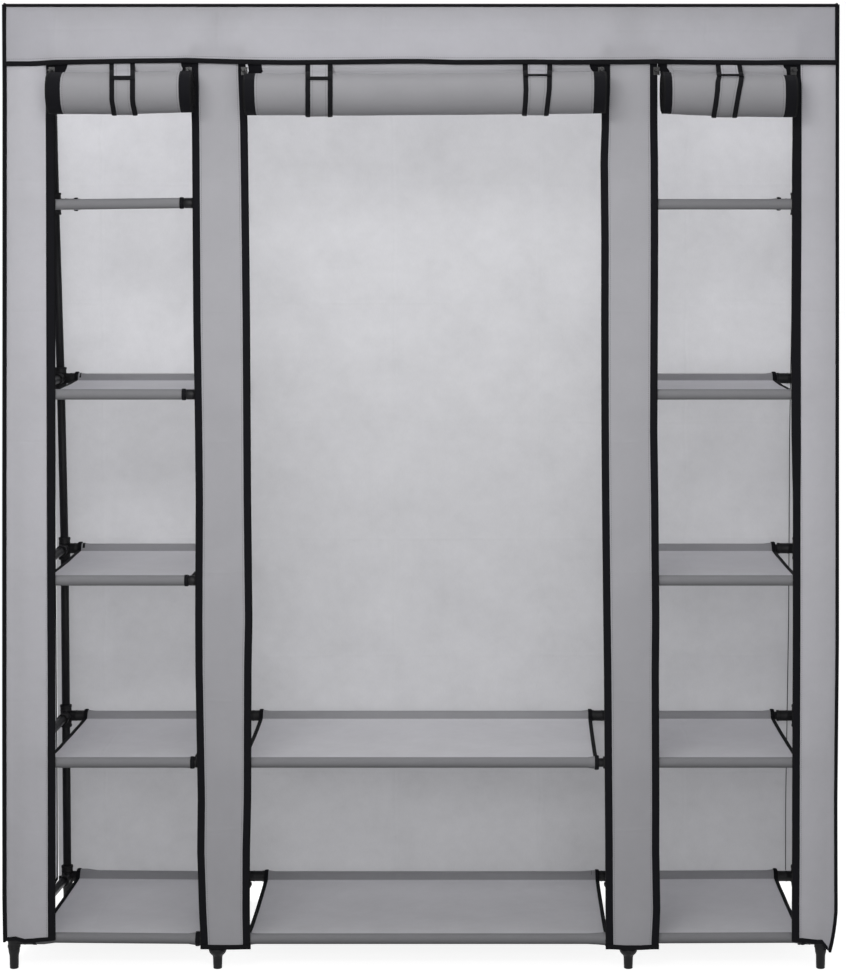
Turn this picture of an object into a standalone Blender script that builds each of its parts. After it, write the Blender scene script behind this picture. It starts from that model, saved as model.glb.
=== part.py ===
# Fabric wardrobe: a steel tube frame in three columns, fabric shelves threaded on cross tubes,
# a fabric cover, and three front doors that roll up and are zipped down both sides.
# Metres, +Z up. The front faces -Y. The origin is the middle of the bounding box's bottom.

import math

import bmesh
import bpy
from mathutils import Matrix, Vector

# Overall sizes

OVERALL_WIDTH = 1.500
BODY_DEPTH = 0.450
OVERALL_HEIGHT = 1.750

# Cloth and clearances

CLOTH = 0.0015
GAP = 0.0003
OVERRUN = 0.010

# Frame tubes and their push-fit connectors

TUBE_RADIUS = 0.008
COLLAR_RADIUS = 0.0118
COLLAR_REACH = 0.022
CAP_RISE = 0.0024
SOCKET_RADIUS = 0.0110
SOCKET_REACH = 0.042
SOCKET_DEPTH = 0.022
SOCKET_FIT = 0.0004
POST_END = 0.006
POST_INSET = 0.022
LOWEST_LEVEL = 0.054
LEVEL_SHARES = (0, 0.193, 0.391, 0.592, 0.796, 1)
TUBE_SIDES = 8

# Feet

FOOT_HEIGHT = 0.038
LEG_RADIUS = 0.0080
LEG_TOP_RADIUS = 0.0084
BULB_RADIUS = 0.0160
BULB_STEPS = 3
SLEEVE_FOOT_RADIUS = 0.0106
SLEEVE_FOOT_NECK = 0.026
SPIGOT_RADIUS = 0.0055
SPIGOT_HEIGHT = 0.012
FOOT_SIDES = 12

# Cover and door openings

MIDDLE_OPENING = 0.638
INNER_STRIP = 0.099
OUTER_STRIP = 0.081
COVER_BOTTOM = 0.040
HEADER_DROP = 0.106
SIDE_BELLY = 0.006
SIDE_COLUMNS = 9
SIDE_ROWS = 10

# Shelves: a cloth with a sleeve round each of its two cross tubes

SHELF_SLEEVE_RADIUS = 0.0095
SHELF_END = 0.056
SIDE_SHELF_LEVELS = (0, 1, 2, 3, 4)
MIDDLE_SHELF_LEVELS = (0, 1)

# Rolled doors, and the straps that hold them up

ROLL_RADIUS = 0.04275
ROLL_NECK = 0.00925
ROLL_TURNS = 8
ROLL_STEPS = 18
ROLL_LAYER_GAP = 0.0035
ROLL_OVERLAP = 0.004
STRAP_WIDTH = 0.045
STRAP_CLOTH = 0.0015
STRAP_ARC_STEPS = 16
STRAP_LEAVE_ANGLE = math.radians(40)
LEFT_STRAP_OFFSET = 0.014
MIDDLE_STRAP_SHARES = (-0.2774, 0.3292)
RIGHT_STRAP_OFFSET = 0.010

# Zips: a slider on each side of each opening, and the pull hinged on it

ZIP_SPLIT = 0.0018
SLIDER_HEIGHT = 0.014
SLIDER_WIDTH = 0.011
SLIDER_PLATE = 0.0014
SLIDER_SLOT_GAP = 0.0004
SLIDER_POST = 0.0010
LUG_WIDTH = 0.0024
LUG_REACH = 0.0012
PIN_RADIUS = 0.0008
PIN_FIT = 0.0002
PULL_WIDTH = 0.0076
PULL_THICKNESS = 0.0028
PULL_LENGTH = 0.022
PULL_ROOT = 0.0020

# Places worked out from the sizes above

ROLL_PITCH = CLOTH + ROLL_LAYER_GAP
ROLL_OVERHANG = GAP + 2 * ROLL_RADIUS - ROLL_PITCH / 2 + GAP + STRAP_CLOTH
BULB_OVERHANG = BULB_RADIUS - COLLAR_RADIUS - GAP - CLOTH
FRONT_Y = (ROLL_OVERHANG - BODY_DEPTH - BULB_OVERHANG) / 2
BACK_Y = FRONT_Y + BODY_DEPTH
FRONT_POST_Y = FRONT_Y + CLOTH + GAP + COLLAR_RADIUS
BACK_POST_Y = BACK_Y - CLOTH - GAP - COLLAR_RADIUS
MIDDLE_Y = (FRONT_POST_Y + BACK_POST_Y) / 2
HALF_WIDTH = OVERALL_WIDTH / 2
PANEL_X = HALF_WIDTH - SIDE_BELLY
OUTER_POST_X = HALF_WIDTH - POST_INSET
MIDDLE_EDGE = MIDDLE_OPENING / 2
INNER_EDGE = MIDDLE_EDGE + INNER_STRIP
OUTER_EDGE = PANEL_X - OUTER_STRIP
INNER_POST_X = (MIDDLE_EDGE + INNER_EDGE) / 2
FRAME_TOP = OVERALL_HEIGHT - CLOTH - GAP
TOP_LEVEL = FRAME_TOP - CAP_RISE - COLLAR_RADIUS
TOP = len(LEVEL_SHARES) - 1
HEADER_BOTTOM = OVERALL_HEIGHT - HEADER_DROP
ROLL_Y = FRONT_Y - GAP - ROLL_RADIUS
ROLL_Z = HEADER_BOTTOM - ROLL_NECK - ROLL_RADIUS
SIDE_DOOR_X = (INNER_EDGE + OUTER_EDGE) / 2
SLIDER_FRONT = FRONT_Y - SLIDER_SLOT_GAP - SLIDER_PLATE
PIN_Y = SLIDER_FRONT - math.hypot(PULL_ROOT, PULL_THICKNESS / 2) - GAP
PULL_TIP_Y = PIN_Y - PULL_LENGTH
ROLL_TOP_RADIUS = ROLL_RADIUS - 3 * ROLL_PITCH / 4
ROLL_RISE_AT_TIP = math.sqrt(ROLL_TOP_RADIUS**2 - (PULL_TIP_Y - ROLL_Y) ** 2)
SLIDER_Z = ROLL_Z + ROLL_RISE_AT_TIP + GAP + PULL_THICKNESS / 2

FRONT_AND_BACK = (FRONT_POST_Y, BACK_POST_Y)


def level_height(level):
    return LOWEST_LEVEL + LEVEL_SHARES[level] * (TOP_LEVEL - LOWEST_LEVEL)


# Materials


def make_material(name, color, roughness, metallic):
    material = bpy.data.materials.new(name)
    material.use_nodes = True
    shader = material.node_tree.nodes["Principled BSDF"]
    shader.inputs["Base Color"].default_value = (*color, 1)
    shader.inputs["Roughness"].default_value = roughness
    shader.inputs["Metallic"].default_value = metallic
    material.diffuse_color = (*color, 1)
    return material


# Building blocks


def finish_object(name, mesh, material):
    item = bpy.data.objects.new(name, mesh)
    bpy.context.scene.collection.objects.link(item)
    if material is not None:
        mesh.materials.clear()
        mesh.materials.append(material)
    return item


def mesh_from(name, bm):
    bmesh.ops.recalc_face_normals(bm, faces=bm.faces)
    mesh = bpy.data.meshes.new(name)
    bm.to_mesh(mesh)
    bm.free()
    return mesh


def shade_round(item):
    item.data.shade_smooth()
    item.data.set_sharp_from_angle(angle=math.radians(50))


def prism(name, start, end, radius, material=None, sides=TUBE_SIDES):
    """A straight round bar between two points. Its flats lie radius from its axis."""
    start = Vector(start)
    run = Vector(end) - start
    corner_radius = radius / math.cos(math.pi / sides)
    bm = bmesh.new()
    bmesh.ops.create_cone(
        bm,
        cap_ends=True,
        segments=sides,
        radius1=corner_radius,
        radius2=corner_radius,
        depth=run.length,
        matrix=Matrix.Rotation(math.pi / sides, 4, "Z"),
    )
    bmesh.ops.translate(bm, vec=(0, 0, run.length / 2), verts=bm.verts)
    bmesh.ops.rotate(bm, matrix=run.to_track_quat("Z", "Y").to_matrix(), verts=bm.verts)
    bmesh.ops.translate(bm, vec=start, verts=bm.verts)
    return finish_object(name, mesh_from(name, bm), material)


def block(name, low, high, material=None):
    """A box between two corners."""
    low = Vector(low)
    high = Vector(high)
    bm = bmesh.new()
    bmesh.ops.create_cube(bm, size=1)
    bmesh.ops.scale(bm, vec=high - low, verts=bm.verts)
    bmesh.ops.translate(bm, vec=(low + high) / 2, verts=bm.verts)
    return finish_object(name, mesh_from(name, bm), material)


def extrusion(name, outline, direction, material=None):
    """A solid made by pushing a flat outline of points along a direction."""
    bm = bmesh.new()
    face = bm.faces.new([bm.verts.new(point) for point in outline])
    pushed = bmesh.ops.extrude_face_region(bm, geom=[face])["geom"]
    moved = [item for item in pushed if isinstance(item, bmesh.types.BMVert)]
    bmesh.ops.translate(bm, vec=direction, verts=moved)
    return finish_object(name, mesh_from(name, bm), material)


def turned(name, profile, material, sides):
    """A solid turned about the Z axis from a profile of (radius, height) that starts and ends on it."""
    bm = bmesh.new()
    verts = [bm.verts.new((radius, 0, height)) for radius, height in profile]
    edges = [bm.edges.new(pair) for pair in zip(verts, verts[1:])]
    bmesh.ops.spin(
        bm,
        geom=verts + edges,
        axis=(0, 0, 1),
        cent=(0, 0, 0),
        steps=sides,
        angle=2 * math.pi,
    )
    bmesh.ops.remove_doubles(bm, verts=bm.verts, dist=GAP / 10)
    item = finish_object(name, mesh_from(name, bm), material)
    shade_round(item)
    return item


def hide_as_guides(name, guides):
    """Puts helper solids in a collection of their own and takes them out of the model."""
    collection = bpy.data.collections.new(name)
    bpy.context.scene.collection.children.link(collection)
    for guide in guides:
        bpy.context.scene.collection.objects.unlink(guide)
        collection.objects.link(guide)
        guide.hide_render = True
        guide.display_type = "WIRE"
    return collection


def combine(item, guides, operation):
    """Joins helper solids to an object, or cuts them out of it."""
    modifier = item.modifiers.new(operation.title(), "BOOLEAN")
    modifier.operation = operation
    modifier.solver = "EXACT"
    modifier.operand_type = "COLLECTION"
    modifier.collection = hide_as_guides(f"{item.name}.{operation.lower()}", guides)


# Frame


def cross_socket(tag, x, y, z, side):
    """One arm of a connector that points along X, and the bore in it for a cross tube."""
    mouth = x + side * SOCKET_REACH
    arm = prism(f"{tag}.arm", (x, y, z), (mouth, y, z), SOCKET_RADIUS)
    bore = prism(
        f"{tag}.bore",
        (mouth - side * SOCKET_DEPTH, y, z),
        (mouth + side * OVERRUN, y, z),
        TUBE_RADIUS + SOCKET_FIT,
    )
    return arm, bore


def side_frame(name, x, sockets, rod_side, material):
    """Two posts, six rails from front to back, and the connectors that hold them.

    sockets lists (side, level) for the arms that carry cross tubes on both posts.
    rod_side is the side of the clothes rod's holder, or zero for none.
    """
    posts = []
    arms = []
    bores = []
    for y in FRONT_AND_BACK:
        post = prism(
            f"{name}.post", (x, y, FOOT_HEIGHT + POST_END), (x, y, FRAME_TOP - POST_END), TUBE_RADIUS
        )
        posts.append(post)
        for level in range(TOP + 1):
            z = level_height(level)
            low = max(z - COLLAR_REACH, FOOT_HEIGHT + GAP)
            high = min(z + COLLAR_REACH, FRAME_TOP)
            arms.append(prism(f"{name}.collar", (x, y, low), (x, y, high), COLLAR_RADIUS))
        for side, level in sockets:
            arm, bore = cross_socket(name, x, y, level_height(level), side)
            arms.append(arm)
            bores.append(bore)
        spigot_top = FOOT_HEIGHT + SPIGOT_HEIGHT + GAP
        bores.append(
            prism(f"{name}.foot_bore", (x, y, 0), (x, y, spigot_top), SPIGOT_RADIUS + SOCKET_FIT)
        )
    for level in range(TOP + 1):
        z = level_height(level)
        arms.append(
            prism(f"{name}.rail", (x, FRONT_POST_Y, z), (x, BACK_POST_Y, z), TUBE_RADIUS)
        )
    if rod_side:
        z = TOP_LEVEL
        low = (x, MIDDLE_Y - COLLAR_REACH, z)
        high = (x, MIDDLE_Y + COLLAR_REACH, z)
        arms.append(prism(f"{name}.rod_collar", low, high, COLLAR_RADIUS))
        arm, bore = cross_socket(name, x, MIDDLE_Y, z, rod_side)
        arms.append(arm)
        bores.append(bore)
    frame = posts[0]
    frame.name = name
    frame.data.materials.append(material)
    combine(frame, posts[1:] + arms, "UNION")
    combine(frame, bores, "DIFFERENCE")
    return frame


def make_side_frames(material):
    side_levels = SIDE_SHELF_LEVELS + (TOP,)
    middle_levels = MIDDLE_SHELF_LEVELS + (TOP,)
    for side, word in ((-1, "left"), (1, "right")):
        towards_middle = [(-side, level) for level in side_levels]
        side_frame(f"outer_{word}_frame", side * OUTER_POST_X, towards_middle, 0, material)
        outward = [(side, level) for level in side_levels]
        inward = [(-side, level) for level in middle_levels]
        side_frame(f"inner_{word}_frame", side * INNER_POST_X, outward + inward, -side, material)


def make_foot(name, x, y, is_inner, material):
    seat = FOOT_HEIGHT
    profile = [(0, 0), (LEG_RADIUS, 0)]
    if is_inner:
        steepest = math.acos(LEG_TOP_RADIUS / BULB_RADIUS)
        for step in range(BULB_STEPS + 1):
            angle = steepest * (1 - step / BULB_STEPS)
            profile.append((BULB_RADIUS * math.cos(angle), seat - BULB_RADIUS * math.sin(angle)))
    else:
        profile.append((LEG_TOP_RADIUS, SLEEVE_FOOT_NECK))
        profile.append((SLEEVE_FOOT_RADIUS, seat))
    profile.append((SPIGOT_RADIUS, seat))
    profile.append((SPIGOT_RADIUS, seat + SPIGOT_HEIGHT))
    profile.append((0, seat + SPIGOT_HEIGHT))
    foot = turned(name, profile, material, FOOT_SIDES)
    foot.location = (x, y, 0)
    return foot


def make_feet(material):
    for y, depth_word in zip(FRONT_AND_BACK, ("front", "back")):
        for side, word in ((-1, "left"), (1, "right")):
            make_foot(f"outer_{word}_{depth_word}_foot", side * OUTER_POST_X, y, False, material)
            make_foot(f"inner_{word}_{depth_word}_foot", side * INNER_POST_X, y, True, material)


# Columns of the frame, as the names and posts at the left and right of each

COLUMNS = (
    ("left", -OUTER_POST_X, -INNER_POST_X),
    ("middle", -INNER_POST_X, INNER_POST_X),
    ("right", INNER_POST_X, OUTER_POST_X),
)
TUBE_END = SOCKET_REACH - SOCKET_DEPTH + GAP


def make_top_tubes(material):
    for column, left, right in COLUMNS:
        for y, depth_word in zip(FRONT_AND_BACK, ("front", "back")):
            tube = prism(
                f"{column}_top_{depth_word}_tube",
                (left + TUBE_END, y, TOP_LEVEL),
                (right - TUBE_END, y, TOP_LEVEL),
                TUBE_RADIUS,
                material,
            )
            shade_round(tube)


def make_clothes_rod(material):
    reach = INNER_POST_X - TUBE_END
    rod = prism(
        "clothes_rod", (-reach, MIDDLE_Y, TOP_LEVEL), (reach, MIDDLE_Y, TOP_LEVEL), TUBE_RADIUS, material
    )
    shade_round(rod)


# Shelves


def sleeve_points(y, z, first, last):
    """Corners of a sleeve's cross-section, counted from its back, from number first to number last."""
    corner = SHELF_SLEEVE_RADIUS / math.cos(math.pi / TUBE_SIDES)
    angles = [2 * math.pi / TUBE_SIDES * (number + 0.5) for number in range(first, last + 1)]
    return [(y + corner * math.cos(angle), z + corner * math.sin(angle)) for angle in angles]


def make_shelf(name, left, right, z, material):
    """The outline runs round the front sleeve, under the cloth, round the back sleeve and back on top."""
    low_x = left + SHELF_END
    length = right - SHELF_END - low_x
    side_angle = 2 * math.pi / TUBE_SIDES
    seam = SHELF_SLEEVE_RADIUS * math.tan(side_angle / 2) + CLOTH / math.tan(side_angle)
    underside = z + SHELF_SLEEVE_RADIUS - CLOTH
    top = TUBE_SIDES // 4
    outline = sleeve_points(FRONT_POST_Y, z, top, TUBE_SIDES)
    outline.append((FRONT_POST_Y + seam, underside))
    outline.append((BACK_POST_Y - seam, underside))
    outline.extend(sleeve_points(BACK_POST_Y, z, top + 1, TUBE_SIDES + top - 1))
    points = [(low_x, y, height) for y, height in outline]
    shelf = extrusion(name, points, (length, 0, 0), material)
    tubes = [
        prism(f"{name}.tube", (left + TUBE_END, y, z), (right - TUBE_END, y, z), TUBE_RADIUS)
        for y in FRONT_AND_BACK
    ]
    combine(shelf, tubes, "UNION")
    return shelf


def make_shelves(material):
    for column, left, right in COLUMNS:
        levels = MIDDLE_SHELF_LEVELS if column == "middle" else SIDE_SHELF_LEVELS
        for level in levels:
            make_shelf(f"{column}_shelf_{level + 1}", left, right, level_height(level), material)


# Cover


def make_top_cover(material):
    """The roof cloth and the header band that hangs from its front edge."""
    inside_y = FRONT_Y + CLOTH
    inside_z = OVERALL_HEIGHT - CLOTH
    outline = [
        (FRONT_Y, HEADER_BOTTOM),
        (inside_y, HEADER_BOTTOM),
        (inside_y, inside_z),
        (BACK_Y, inside_z),
        (BACK_Y, OVERALL_HEIGHT),
        (FRONT_Y, OVERALL_HEIGHT),
    ]
    points = [(-PANEL_X, y, z) for y, z in outline]
    extrusion("top_cover", points, (2 * PANEL_X, 0, 0), material)


def make_back_panel(material):
    reach = PANEL_X - CLOTH - GAP
    block("back_panel", (-reach, BACK_Y - CLOTH, COVER_BOTTOM), (reach, BACK_Y, FRAME_TOP), material)


def side_panel_point(side, column, height_share, z):
    """Column 0 is the front strip's free edge, column 1 the front corner, the last one the back corner."""
    if column == 0:
        return (side * (OUTER_EDGE + ZIP_SPLIT / 2), FRONT_Y, z)
    depth_share = (column - 1) / (SIDE_COLUMNS - 1)
    belly = SIDE_BELLY * math.sin(math.pi * depth_share) * (1 - (2 * height_share - 1) ** 4)
    return (side * (PANEL_X + belly), FRONT_Y + depth_share * BODY_DEPTH, z)


def make_side_panel(name, side, material):
    """One cloth that covers the side and folds round the front post as the front strip.

    Its front strip and corner end under the header, which hangs in the same plane.
    """
    span = FRAME_TOP - COVER_BOTTOM
    bm = bmesh.new()
    grid = []
    for row in range(SIDE_ROWS + 1):
        share = row / SIDE_ROWS
        z = COVER_BOTTOM + span * share
        columns = range(SIDE_COLUMNS + 1)
        grid.append([bm.verts.new(side_panel_point(side, column, share, z)) for column in columns])
    for lower, upper in zip(grid, grid[1:]):
        for column in range(SIDE_COLUMNS):
            corners = [lower[column], lower[column + 1], upper[column + 1], upper[column]]
            bm.faces.new(corners if side < 0 else reversed(corners))
    mesh = bpy.data.meshes.new(name)
    bm.to_mesh(mesh)
    bm.free()
    panel = finish_object(name, mesh, material)
    thick = panel.modifiers.new("Cloth", "SOLIDIFY")
    thick.thickness = CLOTH
    thick.offset = 1
    thick.use_even_offset = True
    edges = (side * (OUTER_EDGE - OVERRUN), side * (HALF_WIDTH + OVERRUN))
    low = (min(edges), FRONT_Y - OVERRUN, HEADER_BOTTOM - GAP)
    high = (max(edges), FRONT_Y + CLOTH + GAP, OVERALL_HEIGHT + OVERRUN)
    combine(panel, [block(f"{name}.header_cut", low, high)], "DIFFERENCE")
    return panel


def make_inner_strip(name, side, material):
    edges = (side * (MIDDLE_EDGE + ZIP_SPLIT / 2), side * (INNER_EDGE - ZIP_SPLIT / 2))
    low = (min(edges), FRONT_Y, COVER_BOTTOM)
    high = (max(edges), FRONT_Y + CLOTH, HEADER_BOTTOM - GAP)
    block(name, low, high, material)


# Doors

DOORS = (
    ("left_door", -OUTER_EDGE, -INNER_EDGE),
    ("middle_door", -MIDDLE_EDGE, MIDDLE_EDGE),
    ("right_door", INNER_EDGE, OUTER_EDGE),
)


def rolled_faces():
    """The outer and the inner face of the rolled cloth, as points about the roll's centre.

    The cloth comes down at the back of the roll, turns forward under it and winds inward.
    """
    outer = []
    inner = []
    for step in range(ROLL_TURNS * ROLL_STEPS + 1):
        turns = step / ROLL_STEPS
        angle = -2 * math.pi * turns
        radius = ROLL_RADIUS - turns * ROLL_PITCH
        outer.append((radius * math.cos(angle), radius * math.sin(angle)))
        inner.append(((radius - CLOTH) * math.cos(angle), (radius - CLOTH) * math.sin(angle)))
    return outer, inner


def least_layer_gap(outer, inner):
    """The smallest distance between points of the inner face and of the outer face a turn further in."""
    half_turn = ROLL_STEPS // 2
    gaps = []
    for here, point in enumerate(inner[:-half_turn]):
        gaps.append(min(math.dist(point, deeper) for deeper in outer[here + half_turn :]))
    return min(gaps)


def make_door(name, left, right, material):
    """The door's cloth wound into a roll, and the short flat part of it from the header to the roll."""
    length = right - left + 2 * ROLL_OVERLAP
    outer, inner = rolled_faces()
    points = [(-length / 2, y, z) for y, z in outer + list(reversed(inner))]
    roll = extrusion(f"{name}_roll", points, (length, 0, 0), material)
    roll.location = ((left + right) / 2, ROLL_Y, ROLL_Z)
    shade_round(roll)
    print(f"{name}: least gap between turns {1000 * least_layer_gap(outer, inner):.2f} mm")
    low = (left + ZIP_SPLIT / 2, FRONT_Y, ROLL_Z)
    high = (right - ZIP_SPLIT / 2, FRONT_Y + CLOTH, HEADER_BOTTOM - GAP)
    block(f"{name}_curtain", low, high, material)


def strap_path(thickness):
    """The strap's line, thickness outside its inner face: over the roll, under it and up behind the door."""
    seam_y = FRONT_Y - GAP
    seam_z = HEADER_BOTTOM - GAP - STRAP_CLOTH + thickness
    to_seam = math.atan2(seam_z - ROLL_Z, seam_y - ROLL_Y)
    seam_distance = math.hypot(seam_z - ROLL_Z, seam_y - ROLL_Y)
    start = to_seam + math.acos((ROLL_TOP_RADIUS + GAP + thickness) / seam_distance)
    end = 2 * math.pi - STRAP_LEAVE_ANGLE
    step_angle = (end - start) / STRAP_ARC_STEPS
    points = [(seam_y, seam_z)]
    for step in range(STRAP_ARC_STEPS + 1):
        angle = start + step * step_angle
        roll_radius = ROLL_RADIUS - ROLL_PITCH * (1 - angle / (2 * math.pi))
        radius = (roll_radius + GAP) / math.cos(step_angle / 2) + thickness
        points.append((ROLL_Y + radius * math.cos(angle), ROLL_Z + radius * math.sin(angle)))
    back = FRONT_Y + CLOTH + GAP + thickness
    reach = back - ROLL_Y
    turn = (reach * math.cos(STRAP_LEAVE_ANGLE) - radius) / math.sin(STRAP_LEAVE_ANGLE)
    points.append((back, ROLL_Z + turn))
    points.append((back, HEADER_BOTTOM - GAP))
    return points


def make_strap(name, x, material):
    outline = strap_path(STRAP_CLOTH) + list(reversed(strap_path(0)))
    points = [(x - STRAP_WIDTH / 2, y, z) for y, z in outline]
    extrusion(name, points, (STRAP_WIDTH, 0, 0), material)


def make_straps(material):
    make_strap("left_door_strap", -SIDE_DOOR_X + LEFT_STRAP_OFFSET, material)
    for number, share in enumerate(MIDDLE_STRAP_SHARES):
        make_strap(f"middle_door_strap_{number + 1}", share * MIDDLE_OPENING, material)
    make_strap("right_door_strap", SIDE_DOOR_X + RIGHT_STRAP_OFFSET, material)


# Zips


def make_slider(name, x, material):
    """Two plates joined by a narrow post, so that the edges of both cloths run between them."""
    half_width = SLIDER_WIDTH / 2
    half_post = SLIDER_POST / 2
    slot_front = -SLIDER_SLOT_GAP
    slot_back = CLOTH + SLIDER_SLOT_GAP
    front = slot_front - SLIDER_PLATE
    back = slot_back + SLIDER_PLATE
    half_outline = [(half_width, front), (half_width, slot_front), (half_post, slot_front)]
    half_outline += [(half_post, slot_back), (half_width, slot_back), (half_width, back)]
    mirrored = [(-across, y) for across, y in reversed(half_outline)]
    low_z = -SLIDER_HEIGHT / 2
    points = [(across, y, low_z) for across, y in half_outline + mirrored]
    slider = extrusion(name, points, (0, 0, SLIDER_HEIGHT), material)
    slider.location = (x, FRONT_Y, SLIDER_Z)
    pin_y = PIN_Y - FRONT_Y
    lug_low = (-LUG_WIDTH / 2, pin_y - LUG_REACH, -LUG_REACH)
    lug_high = (LUG_WIDTH / 2, front + SLIDER_PLATE / 2, LUG_REACH)
    lug = block(f"{name}.lug", lug_low, lug_high)
    reach = PULL_WIDTH / 2
    pin = prism(f"{name}.pin", (-reach, pin_y, 0), (reach, pin_y, 0), PIN_RADIUS)
    for piece in (lug, pin):
        piece.location = slider.location
    combine(slider, [lug, pin], "UNION")
    return slider


def make_pull(name, x, material):
    """A flat tab, forked round the slider's lug, that lies outward on the roll's shoulder."""
    half_width = PULL_WIDTH / 2
    fork = LUG_WIDTH / 2 + GAP
    slot_end = -LUG_REACH * math.sqrt(2) - GAP
    corner = PULL_WIDTH / 4
    half_outline = [
        (fork, slot_end),
        (fork, PULL_ROOT),
        (half_width, PULL_ROOT),
        (half_width, corner - PULL_LENGTH),
        (half_width - corner, -PULL_LENGTH),
    ]
    mirrored = [(-across, y) for across, y in reversed(half_outline)]
    low_z = -PULL_THICKNESS / 2
    points = [(across, y, low_z) for across, y in half_outline + mirrored]
    pull = extrusion(name, points, (0, 0, PULL_THICKNESS), material)
    pull.location = (x, PIN_Y, SLIDER_Z)
    reach = PULL_WIDTH / 2 + OVERRUN
    hole = prism(f"{name}.hole", (-reach, 0, 0), (reach, 0, 0), PIN_RADIUS + PIN_FIT)
    hole.location = pull.location
    combine(pull, [hole], "DIFFERENCE")
    return pull


ZIP_LINES = (-OUTER_EDGE, -INNER_EDGE, -MIDDLE_EDGE, MIDDLE_EDGE, INNER_EDGE, OUTER_EDGE)


def main():
    for item in list(bpy.data.objects):
        bpy.data.objects.remove(item)
    steel = make_material("black steel", (0.012, 0.012, 0.014), 0.35, 0.0)
    plastic = make_material("black plastic", (0.015, 0.015, 0.016), 0.5, 0.0)
    cover_cloth = make_material("grey cover cloth", (0.46, 0.46, 0.48), 0.9, 0.0)
    shelf_cloth = make_material("grey shelf cloth", (0.30, 0.30, 0.31), 0.9, 0.0)
    zip_metal = make_material("zip metal", (0.05, 0.05, 0.055), 0.3, 1.0)
    make_side_frames(steel)
    make_feet(plastic)
    make_top_tubes(steel)
    make_clothes_rod(steel)
    make_shelves(shelf_cloth)
    make_top_cover(cover_cloth)
    make_back_panel(cover_cloth)
    for side, word in ((-1, "left"), (1, "right")):
        make_side_panel(f"{word}_side_panel", side, cover_cloth)
        make_inner_strip(f"inner_{word}_strip", side, cover_cloth)
    for name, left, right in DOORS:
        make_door(name, left, right, cover_cloth)
    make_straps(cover_cloth)
    for number, x in enumerate(ZIP_LINES):
        make_slider(f"zip_slider_{number + 1}", x, zip_metal)
        make_pull(f"zip_pull_{number + 1}", x, zip_metal)


main()
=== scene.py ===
# %% [markdown]
# # A fabric wardrobe in three columns
# The real wardrobe is a light frame of black steel tubes pushed into plastic joints. Cloth shelves hang on
# cross tubes, and a grey cover of non-woven cloth goes over it all. Three doors close it with zips. Here
# they are rolled up and held by straps.
#
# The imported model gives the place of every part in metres, with Z up and the front towards -Y. Everything
# below is built where the model has it. Only small leans and waves are read off the photograph.

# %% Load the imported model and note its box
import math

import bpy
import numpy as np
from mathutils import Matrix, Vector, noise


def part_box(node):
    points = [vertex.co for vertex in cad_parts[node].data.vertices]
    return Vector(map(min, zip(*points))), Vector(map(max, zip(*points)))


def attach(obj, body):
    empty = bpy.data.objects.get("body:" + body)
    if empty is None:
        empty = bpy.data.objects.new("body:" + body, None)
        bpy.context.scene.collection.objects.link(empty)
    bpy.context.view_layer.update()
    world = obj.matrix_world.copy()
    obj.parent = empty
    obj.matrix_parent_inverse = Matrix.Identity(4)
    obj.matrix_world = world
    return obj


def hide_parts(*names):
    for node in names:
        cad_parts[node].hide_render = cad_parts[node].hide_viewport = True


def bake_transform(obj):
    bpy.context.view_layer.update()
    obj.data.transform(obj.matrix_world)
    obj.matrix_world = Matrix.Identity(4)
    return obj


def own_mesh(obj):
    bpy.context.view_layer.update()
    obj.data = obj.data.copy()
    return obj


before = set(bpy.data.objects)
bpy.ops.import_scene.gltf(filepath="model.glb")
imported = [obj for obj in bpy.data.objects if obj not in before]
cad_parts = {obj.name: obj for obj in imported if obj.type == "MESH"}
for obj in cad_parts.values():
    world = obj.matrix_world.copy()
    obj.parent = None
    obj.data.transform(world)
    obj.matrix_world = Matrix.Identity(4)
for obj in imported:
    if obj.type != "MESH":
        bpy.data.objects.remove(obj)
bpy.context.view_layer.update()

# %% [markdown]
# ## Where things are
# Every later step asks for the same few places: the front and back of the cover, the lines of the posts,
# and the heights of the shelves. They are read from the model's own parts, because numbers copied by hand
# go wrong when the model changes.


# %% Read the places of the cover, the posts and the shelves
def middle_of(node):
    low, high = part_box(node)
    return (low + high) / 2


front_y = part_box("inner_left_strip")[0].y
back_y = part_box("back_panel")[1].y
roof_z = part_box("top_cover")[1].z
header_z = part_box("top_cover")[0].z
hem_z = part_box("back_panel")[0].z
corner_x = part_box("top_cover")[1].x
outer_x = middle_of("outer_right_front_foot").x
inner_x = middle_of("inner_right_front_foot").x
front_post_y = middle_of("outer_left_front_foot").y
back_post_y = middle_of("outer_left_back_foot").y
middle_y = (front_post_y + back_post_y) / 2
frame_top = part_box("outer_left_frame")[1].z
levels = [middle_of(f"left_shelf_{number}").z for number in range(1, 6)]
levels.append(middle_of("left_top_front_tube").z)
POSTS = (-outer_x, -inner_x, inner_x, outer_x)
print(f"front {front_y:.4f}, back {back_y:.4f}, levels", [round(level, 3) for level in levels])


# %% Small helpers for shapes
LEFT, RIGHT, UP, FORWARD, BACKWARD = (-1, 0, 0), (1, 0, 0), (0, 0, 1), (0, -1, 0), (0, 1, 0)


def clamp(value):
    return min(1, max(0, value))


def bell(distance, width):
    """1 in the middle, and nearly 0 at twice the width."""
    return math.exp(-((distance / width) ** 2))


def slow_noise(*place):
    return noise.noise(Vector(place))


def look_up(table, value):
    """Reads between the entries of a table of places and values."""
    return float(np.interp(value, *zip(*table)))


def off_level(z):
    return min(abs(level - z) for level in levels)

# %% [markdown]
# ## The camera
# The photograph looks straight at the front from about 4 m away, a little above the middle, with a long
# lens. Its uprights stay upright, so the lens is shifted down instead of tilting the camera more. The camera
# comes first, because it says which details will be seen.

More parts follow.
